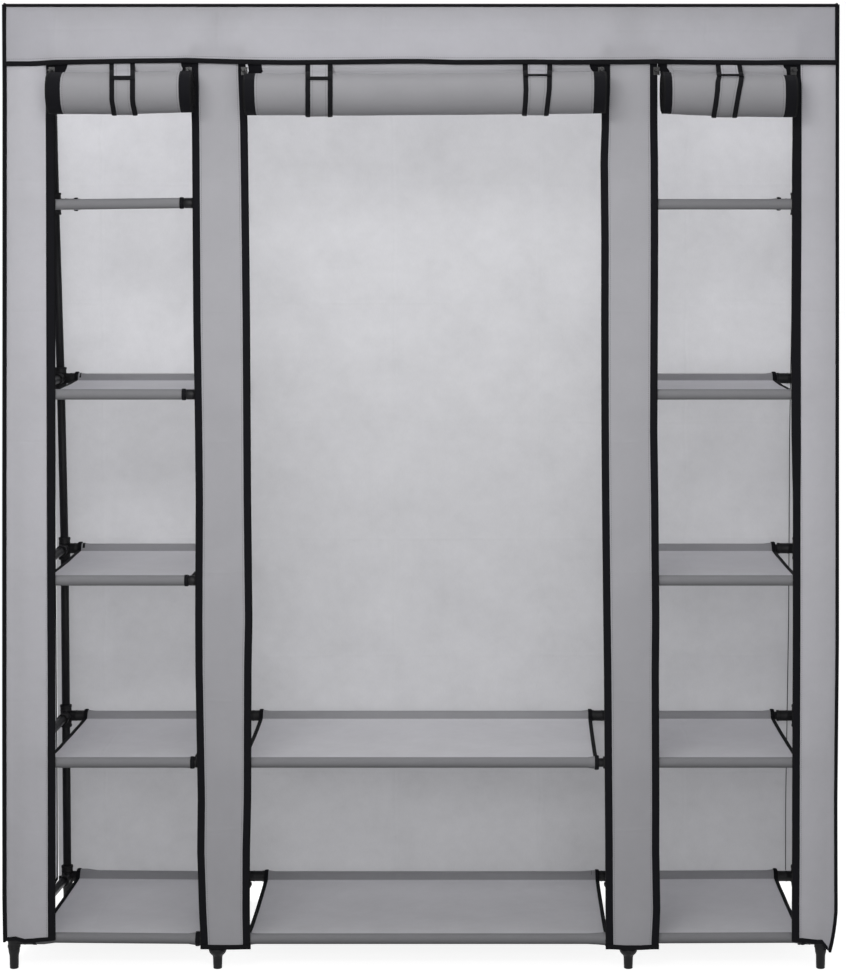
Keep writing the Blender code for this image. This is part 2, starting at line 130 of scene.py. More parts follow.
# %% Place the camera as in the photograph
camera = bpy.data.objects.new("camera", bpy.data.cameras.new("camera"))
bpy.context.scene.collection.objects.link(camera)
bpy.context.scene.camera = camera
camera.location = (0.0864, front_y - 4.2087, 1.3597)
camera.rotation_euler = (math.radians(87.5), 0, 0)
camera.data.sensor_width = 36
camera.data.lens = 86.32
camera.data.shift_x = -0.0491
camera.data.shift_y = -0.1685
camera.data.dof.use_dof = False
print("camera at", [round(part, 3) for part in camera.location])

# %% [markdown]
# ## Building materials from nodes
# Cloth, tape, steel and plastic each need a few shader nodes. Adding nodes by hand takes many lines, so a
# helper adds a node, sets it and joins its inputs. Its outputs come back as wires, and sums and products of
# wires become Math nodes. An effect that several materials share is a node group and exists once.


# %% Wires, the outputs of nodes
class Wire:
    """A node's output. Arithmetic on wires adds Math nodes to their tree."""

    def __init__(self, socket):
        self.socket = socket

    def step(self, operation, other=0, first=False):
        values = {0: other, 1: self} if first else {0: self, 1: other}
        return put(self.socket.id_data, "Math", values, operation=operation)[0]

    def __add__(self, other):
        return self.step("ADD", other)

    def __sub__(self, other):
        return self.step("SUBTRACT", other)

    def __rsub__(self, other):
        return self.step("SUBTRACT", other, first=True)

    def __mul__(self, other):
        return self.step("MULTIPLY", other)

    def __truediv__(self, other):
        return self.step("DIVIDE", other)


class Wires:
    """The outputs of a node, by number or name."""

    def __init__(self, outputs):
        self.outputs = outputs

    def __getitem__(self, key):
        return Wire(self.outputs[key])


# %% Adding and joining nodes
def join(tree, inputs, values):
    """Links the wires among the values to the inputs, and sets the others there."""
    for socket, value in values.items():
        if isinstance(value, Wire):
            tree.links.new(value.socket, inputs[socket])
        else:
            inputs[socket].default_value = value


def put(tree, kind, inputs=None, group=None, **settings):
    """Adds a node, sets its properties, links or fills its inputs, and gives its outputs."""
    node = tree.nodes.new("ShaderNode" + kind)
    if group:
        node.node_tree = group
    for name, value in settings.items():
        setattr(node, name, value)
    join(tree, node.inputs, inputs or {})
    return Wires(node.outputs)


# %% Opening and closing node groups
KINDS = {"Cloth": "Vector", "Seam": "Vector", "Place": "Vector", "Colour": "Color"}


def new_group(name, takes, gives):
    """Opens a shader node group. takes gives each input's first value, and gives names the outputs."""
    tree = bpy.data.node_groups.new(name, "ShaderNodeTree")
    for label, value in takes.items():
        kind = "NodeSocket" + KINDS.get(label, "Float")
        socket = tree.interface.new_socket(label, in_out="INPUT", socket_type=kind)
        if value is not None:
            socket.default_value = value
    for label in gives:
        kind = "NodeSocket" + KINDS.get(label, "Float")
        tree.interface.new_socket(label, in_out="OUTPUT", socket_type=kind)
    return tree, Wires(tree.nodes.new("NodeGroupInput").outputs)


def close_group(tree, results):
    join(tree, tree.nodes.new("NodeGroupOutput").inputs, results)
    print("group", tree.name, "has", len(tree.nodes), "nodes")


# %% Steps that several materials share
def scaled_noise(place, scale, detail, stretch=(1, 1, 1)):
    tree = place.socket.id_data
    spot = put(tree, "VectorMath", {0: place, 1: stretch}, operation="MULTIPLY")[0]
    return put(tree, "TexNoise", {"Vector": spot, "Scale": scale, "Detail": detail})["Fac"]


def shaded(colour, shade):
    """A colour made lighter or darker."""
    return put(colour.socket.id_data, "VectorMath", {0: colour, "Scale": shade}, operation="SCALE")[0]


def parts_of(place):
    return put(place.socket.id_data, "SeparateXYZ", {0: place})


# %% [markdown]
# ## Non-woven cloth
# The cover is pressed polypropylene fleece. Close up it has a fine grid of small pressed dots, and from
# further away it looks cloudy, because the fibres lie unevenly. It keeps the fold lines of its packet. All
# of this is a matter of colour, roughness and tiny height, so it belongs in a group that reads the cloth's
# own coordinates in metres and moves with the cloth.

# %% Group: the mottled, pressed and folded look of the cloth
FOLD_WIDTH = 0.005
DOT_HEIGHT = 0.00009
FOLD_HEIGHT = 0.0005
PUCKER_HEIGHT = 0.005


def fold_lines(distance_along, wobble, spacing, shift):
    """A narrow bump at every fold line: 1 on the line, 0 more than FOLD_WIDTH away from it."""
    place = distance_along / spacing + shift + wobble
    from_line = (place.step("FRACT") - 0.5).step("ABSOLUTE")
    return (1 - from_line * spacing / FOLD_WIDTH).step("MAXIMUM", 0)


cloth_group, taken = new_group(
    "Non-woven cloth",
    {"Cloth": None, "Colour": (0.5, 0.5, 0.5, 1), "Clouding": 0.1, "Dots": 1, "Folds": 1},
    ["Colour", "Roughness", "Height"],
)
place = taken["Cloth"]
clouds = scaled_noise(place, 11, 3)
patches = scaled_noise(place, 46, 3)
fibres = scaled_noise(place, 420, 2, (1, 0.35, 1))
dots = put(cloth_group, "TexVoronoi", {"Vector": place, "Scale": 620, "Randomness": 0.0})["Distance"]
pressed = (dots * 2.2).step("MINIMUM", 1)
swing = clouds * 1.1 + patches * 0.6 + fibres * 0.4 - 1.05
shade = (swing * taken["Clouding"] + 1) * (pressed * 0.03 + 0.97)
wobble = (clouds - 0.5) * 0.05
across, along = parts_of(place)["X"], parts_of(place)["Y"]
folded = fold_lines(across, wobble, 0.29, 0.17) + fold_lines(along, wobble, 0.235, 0.4)
pucker = scaled_noise(place, 7, 3, (1, 0.8, 1))
bumps = (folded * FOLD_HEIGHT + pucker * PUCKER_HEIGHT) * taken["Folds"]
small = pressed * DOT_HEIGHT * taken["Dots"] + patches * 0.0004
look = {"Colour": shaded(taken["Colour"], shade), "Roughness": patches * 0.16 + 0.76, "Height": bumps + small}
close_group(cloth_group, look)

# %% [markdown]
# ## Sewing thread
# Every bound edge is held by a row of short stitches. Modelled threads would need thousands of points. A
# row drawn by distance from the edge costs nothing: each cloth carries a second set of coordinates, the
# distance to its nearest seam and the distance along it.

# %% Group: one row of stitches
STITCH_SHARE = 0.68
THREAD_HEIGHT = 0.0003
stitch_group, taken = new_group(
    "Stitch row",
    {"Seam": None, "Offset": 0.003, "Stitch length": 0.0035, "Thread": 0.00035},
    ["Mask", "Height"],
)
parts = parts_of(taken["Seam"])
off_line = (parts["X"] - taken["Offset"]).step("ABSOLUTE")
on_line = off_line.step("LESS_THAN", taken["Thread"])
in_stitch = (parts["Y"] / taken["Stitch length"]).step("FRACT").step("LESS_THAN", STITCH_SHARE)
mask = on_line * in_stitch
close_group(stitch_group, {"Mask": mask, "Height": (1 - off_line / taken["Thread"]) * mask * THREAD_HEIGHT})

# %% [markdown]
# ## Ribbed tape
# The black binding and the zip tapes are woven with fine ribs that run straight across them. A sine along
# the tape gives the ribs and darkens the grooves between them as painted shade, and some noise makes the
# threads uneven and a little dusty.

# %% Group: the ribs of woven tape
tape_group, taken = new_group(
    "Ribbed tape",
    {"Cloth": None, "Colour": (0.01, 0.01, 0.01, 1), "Rib": 0.0011, "Rib height": 0.0001},
    ["Colour", "Height"],
)
turn = parts_of(taken["Cloth"])["Y"] / taken["Rib"] * (2 * math.pi)
rib = turn.step("SINE") * 0.5 + 0.5
threads = scaled_noise(taken["Cloth"], 900, 2, (0.3, 1, 1))
dust = scaled_noise(taken["Cloth"], 30, 3)
# The rib term darkens the grooves as painted shade; threads and dust are the tape's own tone.
light = rib * 0.35 + threads * 0.5 + dust * 0.5 + 0.33
close_group(tape_group, {"Colour": shaded(taken["Colour"], light), "Height": rib * taken["Rib height"]})

# %% [markdown]
# ## Scuffs and grain
# Painted tube and moulded plastic are smooth, but never perfectly: handling leaves dull patches and fine
# scratches, and a mould leaves grain. One group gives all of these, and each material sets how much.

# %% Group: scuffs and grain of hard parts
scuff_group, taken = new_group(
    "Scuffs and grain",
    {"Place": None, "Colour": (0.01, 0.01, 0.01, 1), "Roughness": 0.4, "Scuffs": 0.5, "Grain": 0.00003},
    ["Colour", "Roughness", "Height"],
)
patches = scaled_noise(taken["Place"], 55, 4)
scratches = scaled_noise(taken["Place"], 240, 2, (1, 1, 0.06))
worn = put(scuff_group, "Clamp", {0: (patches - 0.52) * 4})[0]
worn = worn * scratches.step("GREATER_THAN", 0.55) * taken["Scuffs"]
lighter = worn * 1.6 + (patches * 0.3 + 0.85)
dull = taken["Roughness"] + (patches - 0.5) * 0.25 + worn * 0.2
grain = scaled_noise(taken["Place"], 1400, 2) * taken["Grain"]
close_group(scuff_group, {"Colour": shaded(taken["Colour"], lighter), "Roughness": dull, "Height": grain})

# %% [markdown]
# ## The finishes
# The cover is one grey cloth, and most of its greys here are painted light and shade. The back panel is thin
# and lets light through. The inner strips, the rolls and the straps are painted darker than the cover, as
# shade. The side panels and the shelf tops are painted lighter than the cover, and the doors' flat parts and
# the straps' loose ends lighter than the rolls, as light. The sleeves are darker because the black tubes show
# through them, and darker still with painted shade. All edges are bound in black, the tubes are painted
# black, and the joints and feet are black plastic. Each finish is one Principled shader fed by the groups
# above.
# Where light passes a cloth, a translucent one is mixed in.


# %% Make the cloth finishes
def start_material(name, colour, rough):
    material = bpy.data.materials.new(name)
    material.use_nodes = True
    material.diffuse_color = (*colour, 1)
    tree = material.node_tree
    shader = tree.nodes["Principled BSDF"]
    join(tree, shader.inputs, {"Base Color": (*colour, 1), "Roughness": rough})
    return material, tree, shader


def dress(tree, shader, height, values):
    """Gives the shader a bump from a height in metres, and the other values."""
    normal = put(tree, "Bump", {"Height": height, "Distance": 1.0, "Strength": 1.0})["Normal"]
    join(tree, shader.inputs, {"Normal": normal, **values})


def cloth_finish(name, colour, clouding, folds, lets_through=0.0):
    """lets_through is the share of light that passes the cloth instead of coming back from it."""
    material, tree, shader = start_material(name, colour, 0.85)
    cloth, seam = (put(tree, "UVMap", uv_map=label)["UV"] for label in ("cloth", "seam"))
    settings = {"Cloth": cloth, "Colour": (*colour, 1), "Clouding": clouding, "Folds": folds}
    look = put(tree, "Group", settings, cloth_group)
    row = put(tree, "Group", {"Seam": seam, "Offset": 0.0035}, stitch_group)
    thread = (*[part * 0.5 for part in colour], 1)
    # A colour mix keeps its colour sockets after the ones for numbers and vectors.
    base = put(tree, "Mix", {0: row["Mask"], 6: look["Colour"], 7: thread}, data_type="RGBA")[2]
    values = {"Base Color": base, "Roughness": look["Roughness"], "Specular IOR Level": 0.25}
    dress(tree, shader, look["Height"] + row["Height"], {**values, "Sheen Weight": 0.08})
    if lets_through:
        through = put(tree, "BsdfTranslucent", {"Color": base})[0]
        both = put(tree, "MixShader", {0: lets_through, 1: Wire(shader.outputs[0]), 2: through})[0]
        join(tree, tree.nodes["Material Output"].inputs, {"Surface": both})
    return material


cover_cloth = cloth_finish("grey cover cloth", (0.68, 0.676, 0.717), 0.10, 0.35, 0.28)
# The side panels, outer strips included, are painted lighter than the cover, as light.
lit_side_cloth = cloth_finish("grey side cloth, painted light", (0.76, 0.755, 0.80), 0.10, 0.35, 0.18)
# The inner strips are painted darker than the cover, as shade.
shaded_strip_cloth = cloth_finish("grey strip cloth, painted shade", (0.515, 0.512, 0.543), 0.10, 0.35)
back_cloth = cloth_finish("pale back cloth", (0.64, 0.64, 0.662), 0.16, 0.8, 0.33)
# The shelf tops are painted lighter than the cover, as light.
shelf_cloth = cloth_finish("grey shelf cloth", (0.78, 0.777, 0.806), 0.12, 0.4)
# The sleeves are darker because the black tubes show through the thin cloth, and they also carry painted
# shade, more over the front tube than the back one.
sleeve_cloth = cloth_finish("shelf cloth over a front tube", (0.280, 0.280, 0.294), 0.12, 0.3)
rear_sleeve_cloth = cloth_finish("shelf cloth over a back tube", (0.36, 0.36, 0.376), 0.12, 0.3)
# The rolls and the straps round them are painted darker than the cover, as shade.
shaded_roll_cloth = cloth_finish("grey roll cloth, painted shade", (0.385, 0.382, 0.403), 0.10, 0.35)
# The doors' flat parts are painted lighter than the rolls, as light against the header's shadow.
lit_door_cloth = cloth_finish("grey door cloth, painted light", (0.60, 0.597, 0.628), 0.10, 0.35)
print("cloth finishes:", [material.name for material in bpy.data.materials if "cloth" in material.name])


# %% Make the black finishes: binding, zip tape, zip coil, steel, plastic and zip metal
def tape_finish(name, colour, rib, rib_height, rough):
    material, tree, shader = start_material(name, colour, rough)
    cloth = put(tree, "UVMap", uv_map="cloth")["UV"]
    settings = {"Cloth": cloth, "Colour": (*colour, 1), "Rib": rib, "Rib height": rib_height}
    look = put(tree, "Group", settings, tape_group)
    dress(tree, shader, look["Height"], {"Base Color": look["Colour"], "Specular IOR Level": 0.12})
    return material


def hard_finish(name, colour, rough, scuffs, grain, shine=0.22):
    material, tree, shader = start_material(name, colour, rough)
    place = put(tree, "TexCoord")["Object"]
    settings = {"Place": place, "Colour": (*colour, 1), "Roughness": rough, "Scuffs": scuffs, "Grain": grain}
    look = put(tree, "Group", settings, scuff_group)
    values = {"Base Color": look["Colour"], "Roughness": look["Roughness"], "Specular IOR Level": shine}
    dress(tree, shader, look["Height"], values)
    return material


binding = tape_finish("black binding", (0.0060, 0.0060, 0.0076), 0.0011, 0.00012, 0.75)
zip_tape = tape_finish("black zip tape", (0.0066, 0.0066, 0.0088), 0.0008, 0.00008, 0.8)
zip_coil = tape_finish("black zip coil", (0.0035, 0.0035, 0.0042), 0.0016, 0.0005, 0.55)
steel = hard_finish("painted black steel", (0.009, 0.009, 0.0105), 0.40, 0.5, 0.00002)
plastic = hard_finish("moulded black plastic", (0.010, 0.010, 0.011), 0.52, 0.3, 0.00006)
zip_metal = hard_finish("enamelled zip metal", (0.012, 0.012, 0.0135), 0.24, 1.0, 0.00001, 0.5)
print("black finishes:", [m.name for m in (binding, zip_tape, zip_coil, steel, plastic, zip_metal)])

# %% [markdown]
# ## A maker's bench for meshes
# Nearly every part here is one of four things: a cloth laid through a grid of points, an edge bound with
# tape, a cord sewn along a line, or a part turned about an axis. Blender has tools for each, but the cloth
# needs coordinates in metres along the weave, and those are easiest to write down while the points are
# made. So one small class collects points, faces, finishes and coordinates, and makes one mesh of them.


# %% The class that collects one mesh
class Work:
    """Points, faces, finish numbers and the two sets of cloth coordinates, until make() builds the mesh."""

    def __init__(self):
        self.points = []
        self.faces = []
        self.finishes = []
        self.cloth = []
        self.seam = []

    def add(self, points, faces, finishes, cloth, seam):
        start = len(self.points)
        self.points.extend(tuple(point) for point in points)
        self.faces.extend(tuple(start + corner for corner in face) for face in faces)
        self.finishes.extend(finishes)
        self.cloth.extend(cloth)
        self.seam.extend(seam)

    def make(self, name, materials, sharp=50):
        mesh = bpy.data.meshes.new(name)
        mesh.from_pydata(self.points, [], self.faces)
        for material in materials:
            mesh.materials.append(material)
        mesh.polygons.foreach_set("material_index", self.finishes)
        corners = np.zeros(len(mesh.loops), np.int32)
        mesh.loops.foreach_get("vertex_index", corners)
        for label, spots in (("cloth", self.cloth), ("seam", self.seam)):
            layer = mesh.uv_layers.new(name=label)
            layer.data.foreach_set("uv", np.array(spots, np.float32)[corners].ravel())
        mesh.shade_smooth()
        mesh.set_sharp_from_angle(angle=math.radians(sharp))
        mesh.update()
        item = bpy.data.objects.new(name, mesh)
        bpy.context.scene.collection.objects.link(item)
        return item


# %% Laying cloth through a grid of points
def face_directions(points):
    """The direction each point of a grid faces, from its neighbours along both ways of the grid."""
    facing = np.cross(np.gradient(points, axis=1), np.gradient(points, axis=0))
    return facing / np.maximum(np.linalg.norm(facing, axis=2, keepdims=True), 1e-9)


def lay_cloth(work, points, cloth, seam, thickness, finish=0):
    """Lays a cloth through points[row][column], which run across and then along it.

    finish is one number, one for each column of patches, or a grid of them. Without a thickness the cloth is
    a single surface, as a thin cloth that light passes through has to be.
    """
    points = np.array(points, float)
    rows, columns = points.shape[:2]
    patches = np.broadcast_to(np.array(finish, int), (rows - 1, columns - 1)).reshape(-1)
    spots = [tuple(spot) for spot in np.array(cloth, float).reshape(-1, 2)]
    seams = [tuple(spot) for spot in np.array(seam, float).reshape(-1, 2)]
    if not thickness:
        numbers = np.arange(rows * columns).reshape(rows, columns)
        corners = (numbers[:-1, :-1], numbers[:-1, 1:], numbers[1:, 1:], numbers[1:, :-1])
        faces = np.stack(corners, axis=2).reshape(-1, 4).tolist()
        work.add(points.reshape(-1, 3), faces, patches.tolist(), spots, seams)
        return
    offset = face_directions(points) * thickness / 2
    sheets = np.concatenate([(points + offset).reshape(-1, 3), (points - offset).reshape(-1, 3)])
    count = rows * columns
    numbers = np.arange(count).reshape(rows, columns)
    a, b, c, d = numbers[:-1, :-1], numbers[:-1, 1:], numbers[1:, 1:], numbers[1:, :-1]
    front = np.stack([a, b, c, d], axis=2).reshape(-1, 4)
    back = np.stack([a, d, c, b], axis=2).reshape(-1, 4) + count
    rim = np.concatenate([numbers[0], numbers[1:, -1], numbers[-1, -2::-1], numbers[-2::-1, 0]])
    edge = np.stack([rim[:-1], rim[:-1] + count, rim[1:] + count, rim[1:]], axis=1)
    finishes = patches.tolist() * 2 + [int(patches[0])] * len(edge)
    faces = np.concatenate([front, back, edge]).tolist()
    work.add(sheets, faces, finishes, spots * 2, seams * 2)


# %% Joining rings of points into a tube
NO_SEAM = (1.0, 0.0)
WIDE_BINDING = 0.0075
NARROW_BINDING = 0.0065
PIPING_RADIUS = 0.0023
CLOTH_THICKNESS = 0.0011
DOOR_THICKNESS = 0.0010


def lengths_along(path):
    steps = np.linalg.norm(np.diff(path, axis=0), axis=1)
    return np.concatenate([[0], np.cumsum(steps)])


def ring_tube(work, rings, along, around, finish, ends=True):
    """Joins rings of points into a closed tube. around is the distance round a ring."""
    rings = np.array(rings, float)
    count, sides = rings.shape[:2]
    faces = []
    for row in range(count - 1):
        for side in range(sides):
            right = (side + 1) % sides
            low = row * sides
            high = low + sides
            faces.append((low + side, high + side, high + right, low + right))
    if ends:
        faces.append(tuple(range(sides)))
        faces.append(tuple((count - 1) * sides + side for side in reversed(range(sides))))
    cloth = [(around * side / sides, along[row]) for row in range(count) for side in range(sides)]
    work.add(rings.reshape(-1, 3), faces, [finish] * len(faces), cloth, [NO_SEAM] * len(cloth))


# %% Binding an edge and sewing a cord
def bind_edge(work, path, inward, facing, width, thickness, finish):
    """Folds a flat tape round a cloth's edge: width, one or many, reaches inward on both of its faces."""
    path = np.array(path, float)
    widths = np.broadcast_to(np.array(width, float), len(path))
    inward = np.broadcast_to(np.array(inward, float), path.shape)
    facing = np.broadcast_to(np.array(facing, float), path.shape)
    half = thickness / 2
    rings = []
    for place, into, out, wide in zip(path, inward, facing, widths):
        outline = [(wide, half), (wide * 0.5, half * 1.15), (half * 0.6, half), (-half * 0.7, half * 0.45)]
        outline += [(reach, -rise) for reach, rise in reversed(outline)]
        rings.append([place + into * reach + out * rise for reach, rise in outline])
    ring_tube(work, rings, lengths_along(path), 2 * widths[0], finish)


def sew_cord(work, path, radius, finish, sides=8):
    """A round cord along a line of points."""
    path = np.array(path, float)
    tangents = np.gradient(path, axis=0)
    tangents /= np.linalg.norm(tangents, axis=1, keepdims=True)
    side = np.cross(tangents[0], (0.31, 0.89, 0.33))
    rings = []
    for point, tangent in zip(path, tangents):
        side = side - tangent * np.dot(side, tangent)
        side = side / np.linalg.norm(side)
        up = np.cross(tangent, side)
        turns = [2 * math.pi * number / sides for number in range(sides)]
        rings.append([point + radius * (math.cos(t) * side + math.sin(t) * up) for t in turns])
    ring_tube(work, rings, lengths_along(path), 2 * math.pi * radius, finish)


# %% Turning a part
def turn_part(work, start, direction, profile, finish=0, sides=24):
    """Turns a profile of (distance along, radius) about a line from start."""
    axis = Vector(direction).normalized()
    turned = axis.to_track_quat("Z", "Y").to_matrix()
    rings = []
    for distance, radius in profile:
        ring = []
        for number in range(sides):
            angle = 2 * math.pi * number / sides
            spot = turned @ Vector((radius * math.cos(angle), radius * math.sin(angle), distance))
            ring.append(tuple(Vector(start) + spot))
        rings.append(ring)
    ring_tube(work, rings, [distance for distance, radius in profile], 0.05, finish)


# %% Placing a finished piece
def place_piece(item, body, slot, *stands_for):
    """Rides on a body and stands for the model's plain parts. The slot is not used."""
    if body:
        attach(item, body)
    if stands_for:
        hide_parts(*stands_for)
    return item


WARDROBE = "wardrobe"

# %% [markdown]
# ## The tubes
# The posts and rails are thin steel tubes, cut square and painted. A turned profile with a small round at
# each end is enough. They stand for the model's frames together with the joints of the next step.

# %% One tube
TUBE = 0.008
ROUND = 0.0012
# A cross tube ends this far from the middle of its post, inside the joint.
TUBE_INSET = 0.021


def add_tube(work, start, end):
    start, end = Vector(start), Vector(end)
    long = (end - start).length
    profile = [(0, TUBE - ROUND), (ROUND * 0.3, TUBE - ROUND * 0.3), (ROUND, TUBE)]
    profile += [(long - ROUND, TUBE), (long - ROUND * 0.3, TUBE - ROUND * 0.3), (long, TUBE - ROUND)]
    turn_part(work, start, end - start, profile, sides=28)


frame_names = ("outer_left_frame", "inner_left_frame", "inner_right_frame", "outer_right_frame")
frames = dict(zip(frame_names, POSTS))
foot_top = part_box("outer_left_frame")[0].z

# %% How the posts stand
# How far the feet stand beside their places, and how far the outer back posts lean at several heights.
foot_shifts = {-outer_x: -0.0187, -inner_x: -0.0071, inner_x: 0.0047, outer_x: -0.0042}
lean_heights = (0.10, 0.81, 0.95, 1.17, 1.32, 1.48, 1.54)
back_leans = {
    -outer_x: (0.0058, 0.0051, 0.0022, -0.0023, -0.0057, -0.0108, -0.0142),
    outer_x: (0.0105, 0.0095, 0.0080, 0.0050, 0.0030, 0.0010, 0.0),
}

# How much higher the back joints of each level sit than the front ones.
back_rises = (-0.0036, -0.0036, -0.0005, 0.0010, 0.0040, 0)


def level_at(number, y):
    return levels[number] + (back_rises[number] if y > middle_y else 0)


def post_x(x, y, z):
    """The posts are pushed together by hand, and stand a few millimetres out of line as in the photograph."""
    if y < middle_y:
        return x + foot_shifts[x] * clamp((0.32 - z) / 0.25)
    if y > middle_y and x in back_leans:
        return x + float(np.interp(z, lean_heights, back_leans[x]))
    return x


# %% Posts, rails and cross tubes
for node, x in frames.items():
    work = Work()
    for y in (front_post_y, back_post_y):
        ends = [levels[0] - 0.012, *levels[1:5], frame_top - 0.006]
        for low, high in zip(ends, ends[1:]):
            add_tube(work, (post_x(x, y, low), y, low), (post_x(x, y, high), y, high))
    for number, level in enumerate(levels):
        add_tube(work, *[(post_x(x, y, level), y, level_at(number, y)) for y in (front_post_y, back_post_y)])
    place_piece(work.make(node + "_tubes", [steel]), WARDROBE, "black_steel", node)

for column, left, right in zip(("left", "middle", "right"), POSTS, POSTS[1:]):
    for y, depth in ((front_post_y, "front"), (back_post_y, "back")):
        work = Work()
        add_tube(work, (left + TUBE_INSET, y, levels[-1]), (right - TUBE_INSET, y, levels[-1]))
        tube = work.make(f"{column}_{depth}_roof_tube", [steel])
        place_piece(tube, WARDROBE, "black_steel", f"{column}_top_{depth}_tube")
work = Work()
add_tube(work, (TUBE_INSET - inner_x, middle_y, levels[-1]), (inner_x - TUBE_INSET, middle_y, levels[-1]))
place_piece(work.make("hanging_rod", [steel]), WARDROBE, "black_steel", "clothes_rod")
print("tubes for", len(frames), "side frames and the roof")

# %% [markdown]
# ## The push-fit joints
# At every crossing a moulded joint holds the post, the rail and the cross tubes. Each arm is a short sleeve
# with a thicker lip at its mouth and a faint moulding ring, and the arms meet in a ball. Turned arms that
# run into one another look right, because the real joint is one black moulding.

# %% One joint with its arms
ARM_REACH = 0.042
POST_REACH = 0.022


def add_arm(work, centre, direction, reach, radius):
    profile = [(0, radius), (reach * 0.45, radius), (reach * 0.47, radius + 0.0004)]
    profile += [(reach * 0.52, radius + 0.0004), (reach * 0.54, radius), (reach - 0.005, radius)]
    profile += [(reach - 0.0045, radius + 0.0007), (reach - 0.0006, radius + 0.0007)]
    profile += [(reach, radius + 0.0002), (reach, radius - 0.0016), (reach - 0.004, TUBE - 0.0002)]
    turn_part(work, centre, direction, profile, sides=24)


def add_ball(work, centre, radius):
    steps = 8
    angles = [math.pi * step / steps - math.pi / 2 for step in range(steps + 1)]
    profile = [(radius * math.sin(a), max(radius * math.cos(a), 0.0004)) for a in angles]
    turn_part(work, centre, (0, 0, 1), profile, sides=24)


def add_joint(work, centre, arms):
    add_ball(work, centre, 0.0117)
    for direction in arms:
        upright = abs(direction[2]) > 0
        reach = POST_REACH if upright else ARM_REACH
        add_arm(work, centre, direction, reach, 0.0111 if upright else 0.0103)


# %% All 48 joints and the two rod holders
side_columns = {-outer_x: (1,), -inner_x: (-1, 1), inner_x: (-1, 1), outer_x: (-1,)}
for node, x in frames.items():
    work = Work()
    for y, inward in ((front_post_y, 1), (back_post_y, -1)):
        for number, level in enumerate(levels):
            arms = [(0, inward, 0)]
            for side in side_columns[x]:
                faces_middle = abs(x) < outer_x and side * x < 0
                if not faces_middle or number in (0, 1, 5):
                    arms.append((side, 0, 0))
            if number > 0:
                arms.append((0, 0, -1))
            if number < 5:
                arms.append((0, 0, 1))
            add_joint(work, (post_x(x, y, level), y, level_at(number, y)), arms)
    for y in (front_post_y, back_post_y):
        profile = [(0, 0.0112), (0.012, 0.0112), (0.0136, 0.0098), (0.0141, 0.0004)]
        turn_part(work, (x, y, levels[-1]), (0, 0, 1), profile)
        low = levels[0] - foot_top - 0.0004
        profile = [(0, 0.0111), (low - 0.004, 0.0111), (low - 0.0036, 0.0117), (low, 0.0117), (low, 0.007)]
        turn_part(work, (post_x(x, y, levels[0]), y, levels[0]), (0, 0, -1), profile)
    if abs(x) < outer_x:
        side = -1 if x > 0 else 1
        for along in (-1, 1):
            add_arm(work, (x, middle_y, levels[-1]), (0, along, 0), POST_REACH, 0.0105)
        add_arm(work, (x, middle_y, levels[-1]), (side, 0, 0), ARM_REACH, 0.0103)
    place_piece(work.make(node + "_joints", [plastic]), WARDROBE, "black_plastic", node)
print("joints placed on", len(frames) * 2, "posts")

# %% [markdown]
# ## The feet
# The outer posts stand on plain tapered sleeves, and the inner posts on feet with a round bulb under the
# joint. All are turned, so a profile with small rounds does it. The soles stay flat, as the wardrobe only
# rests on the floor.

# %% Turn the eight feet
# Profiles of height and radius, from the sole up.
BULB_FOOT = (
    (0, 0.0070), (0.0006, 0.0079), (0.0022, 0.0081), (0.0045, 0.0078), (0.0052, 0.0082),
    (0.0100, 0.0083), (0.0200, 0.0086), (0.0232, 0.0092), (0.0252, 0.0106), (0.0272, 0.0130),
    (0.0300, 0.0150), (0.0328, 0.0160), (0.0352, 0.0160), (0.0372, 0.0154), (0.0380, 0.0140),
)
SLEEVE_FOOT = (
    (0, 0.0068), (0.0006, 0.0078), (0.0022, 0.0080), (0.0050, 0.0079), (0.0056, 0.0082), (0.0180, 0.0083),
    (0.0240, 0.0085), (0.0262, 0.0090), (0.0300, 0.0099), (0.0350, 0.0105), (0.0374, 0.0106),
    (0.0380, 0.0102),
)
for depth in ("front", "back"):
    for side in ("left", "right"):
        for kind, profile in (("outer", SLEEVE_FOOT), ("inner", BULB_FOOT)):
            node = f"{kind}_{side}_{depth}_foot"
            place = middle_of(node)
            work = Work()
            turn_part(work, (post_x(place.x, place.y, 0), place.y, 0), (0, 0, 1), profile, sides=32)
            place_piece(work.make(node + "_turned", [plastic]), WARDROBE, "black_plastic", node)
print("8 feet turned")

# %% [markdown]
# ## The shelves
# A shelf is one cloth with a sleeve sewn at its front and back. A cross tube goes through each sleeve, and
# the cloth between them sags a little. Its two side edges are bound in black. A cloth simulation would find
# the same shape slowly, so the line of the cloth is written out: round the front tube, across with a sag,
# and round the back tube.

# %% The line of a shelf's cloth from front to back
SLEEVE = 0.0089
SEAM_REACH = 0.0160
SEAM_DROP = 0.0036
SAG_STEPS = 18


def shelf_line(level, rise, sag, sleeve):
    """Points (y, z) from the front sleeve's seam, round the tube, across with a sag, and round the back tube.

    rise is how much higher the back tube lies.
    """
    front = [(front_post_y + SEAM_REACH - 0.001, level - SEAM_DROP - 0.0016)]
    for degrees in range(300, 29, -15):
        angle = math.radians(degrees)
        front.append((front_post_y + sleeve * math.cos(angle), level + sleeve * math.sin(angle)))
    front.append((front_post_y + 0.0125, level - 0.0006))
    back = [(front_post_y + back_post_y - y, z + rise) for y, z in reversed(front)]
    start, end = front_post_y + SEAM_REACH, back_post_y - SEAM_REACH
    across = []
    for step in range(SAG_STEPS + 1):
        share = step / SAG_STEPS
        dip = sag * (1 - (2 * share - 1) ** 2) ** 0.8
        across.append((start + share * (end - start), level - SEAM_DROP + rise * share - dip))
    return front + across + back


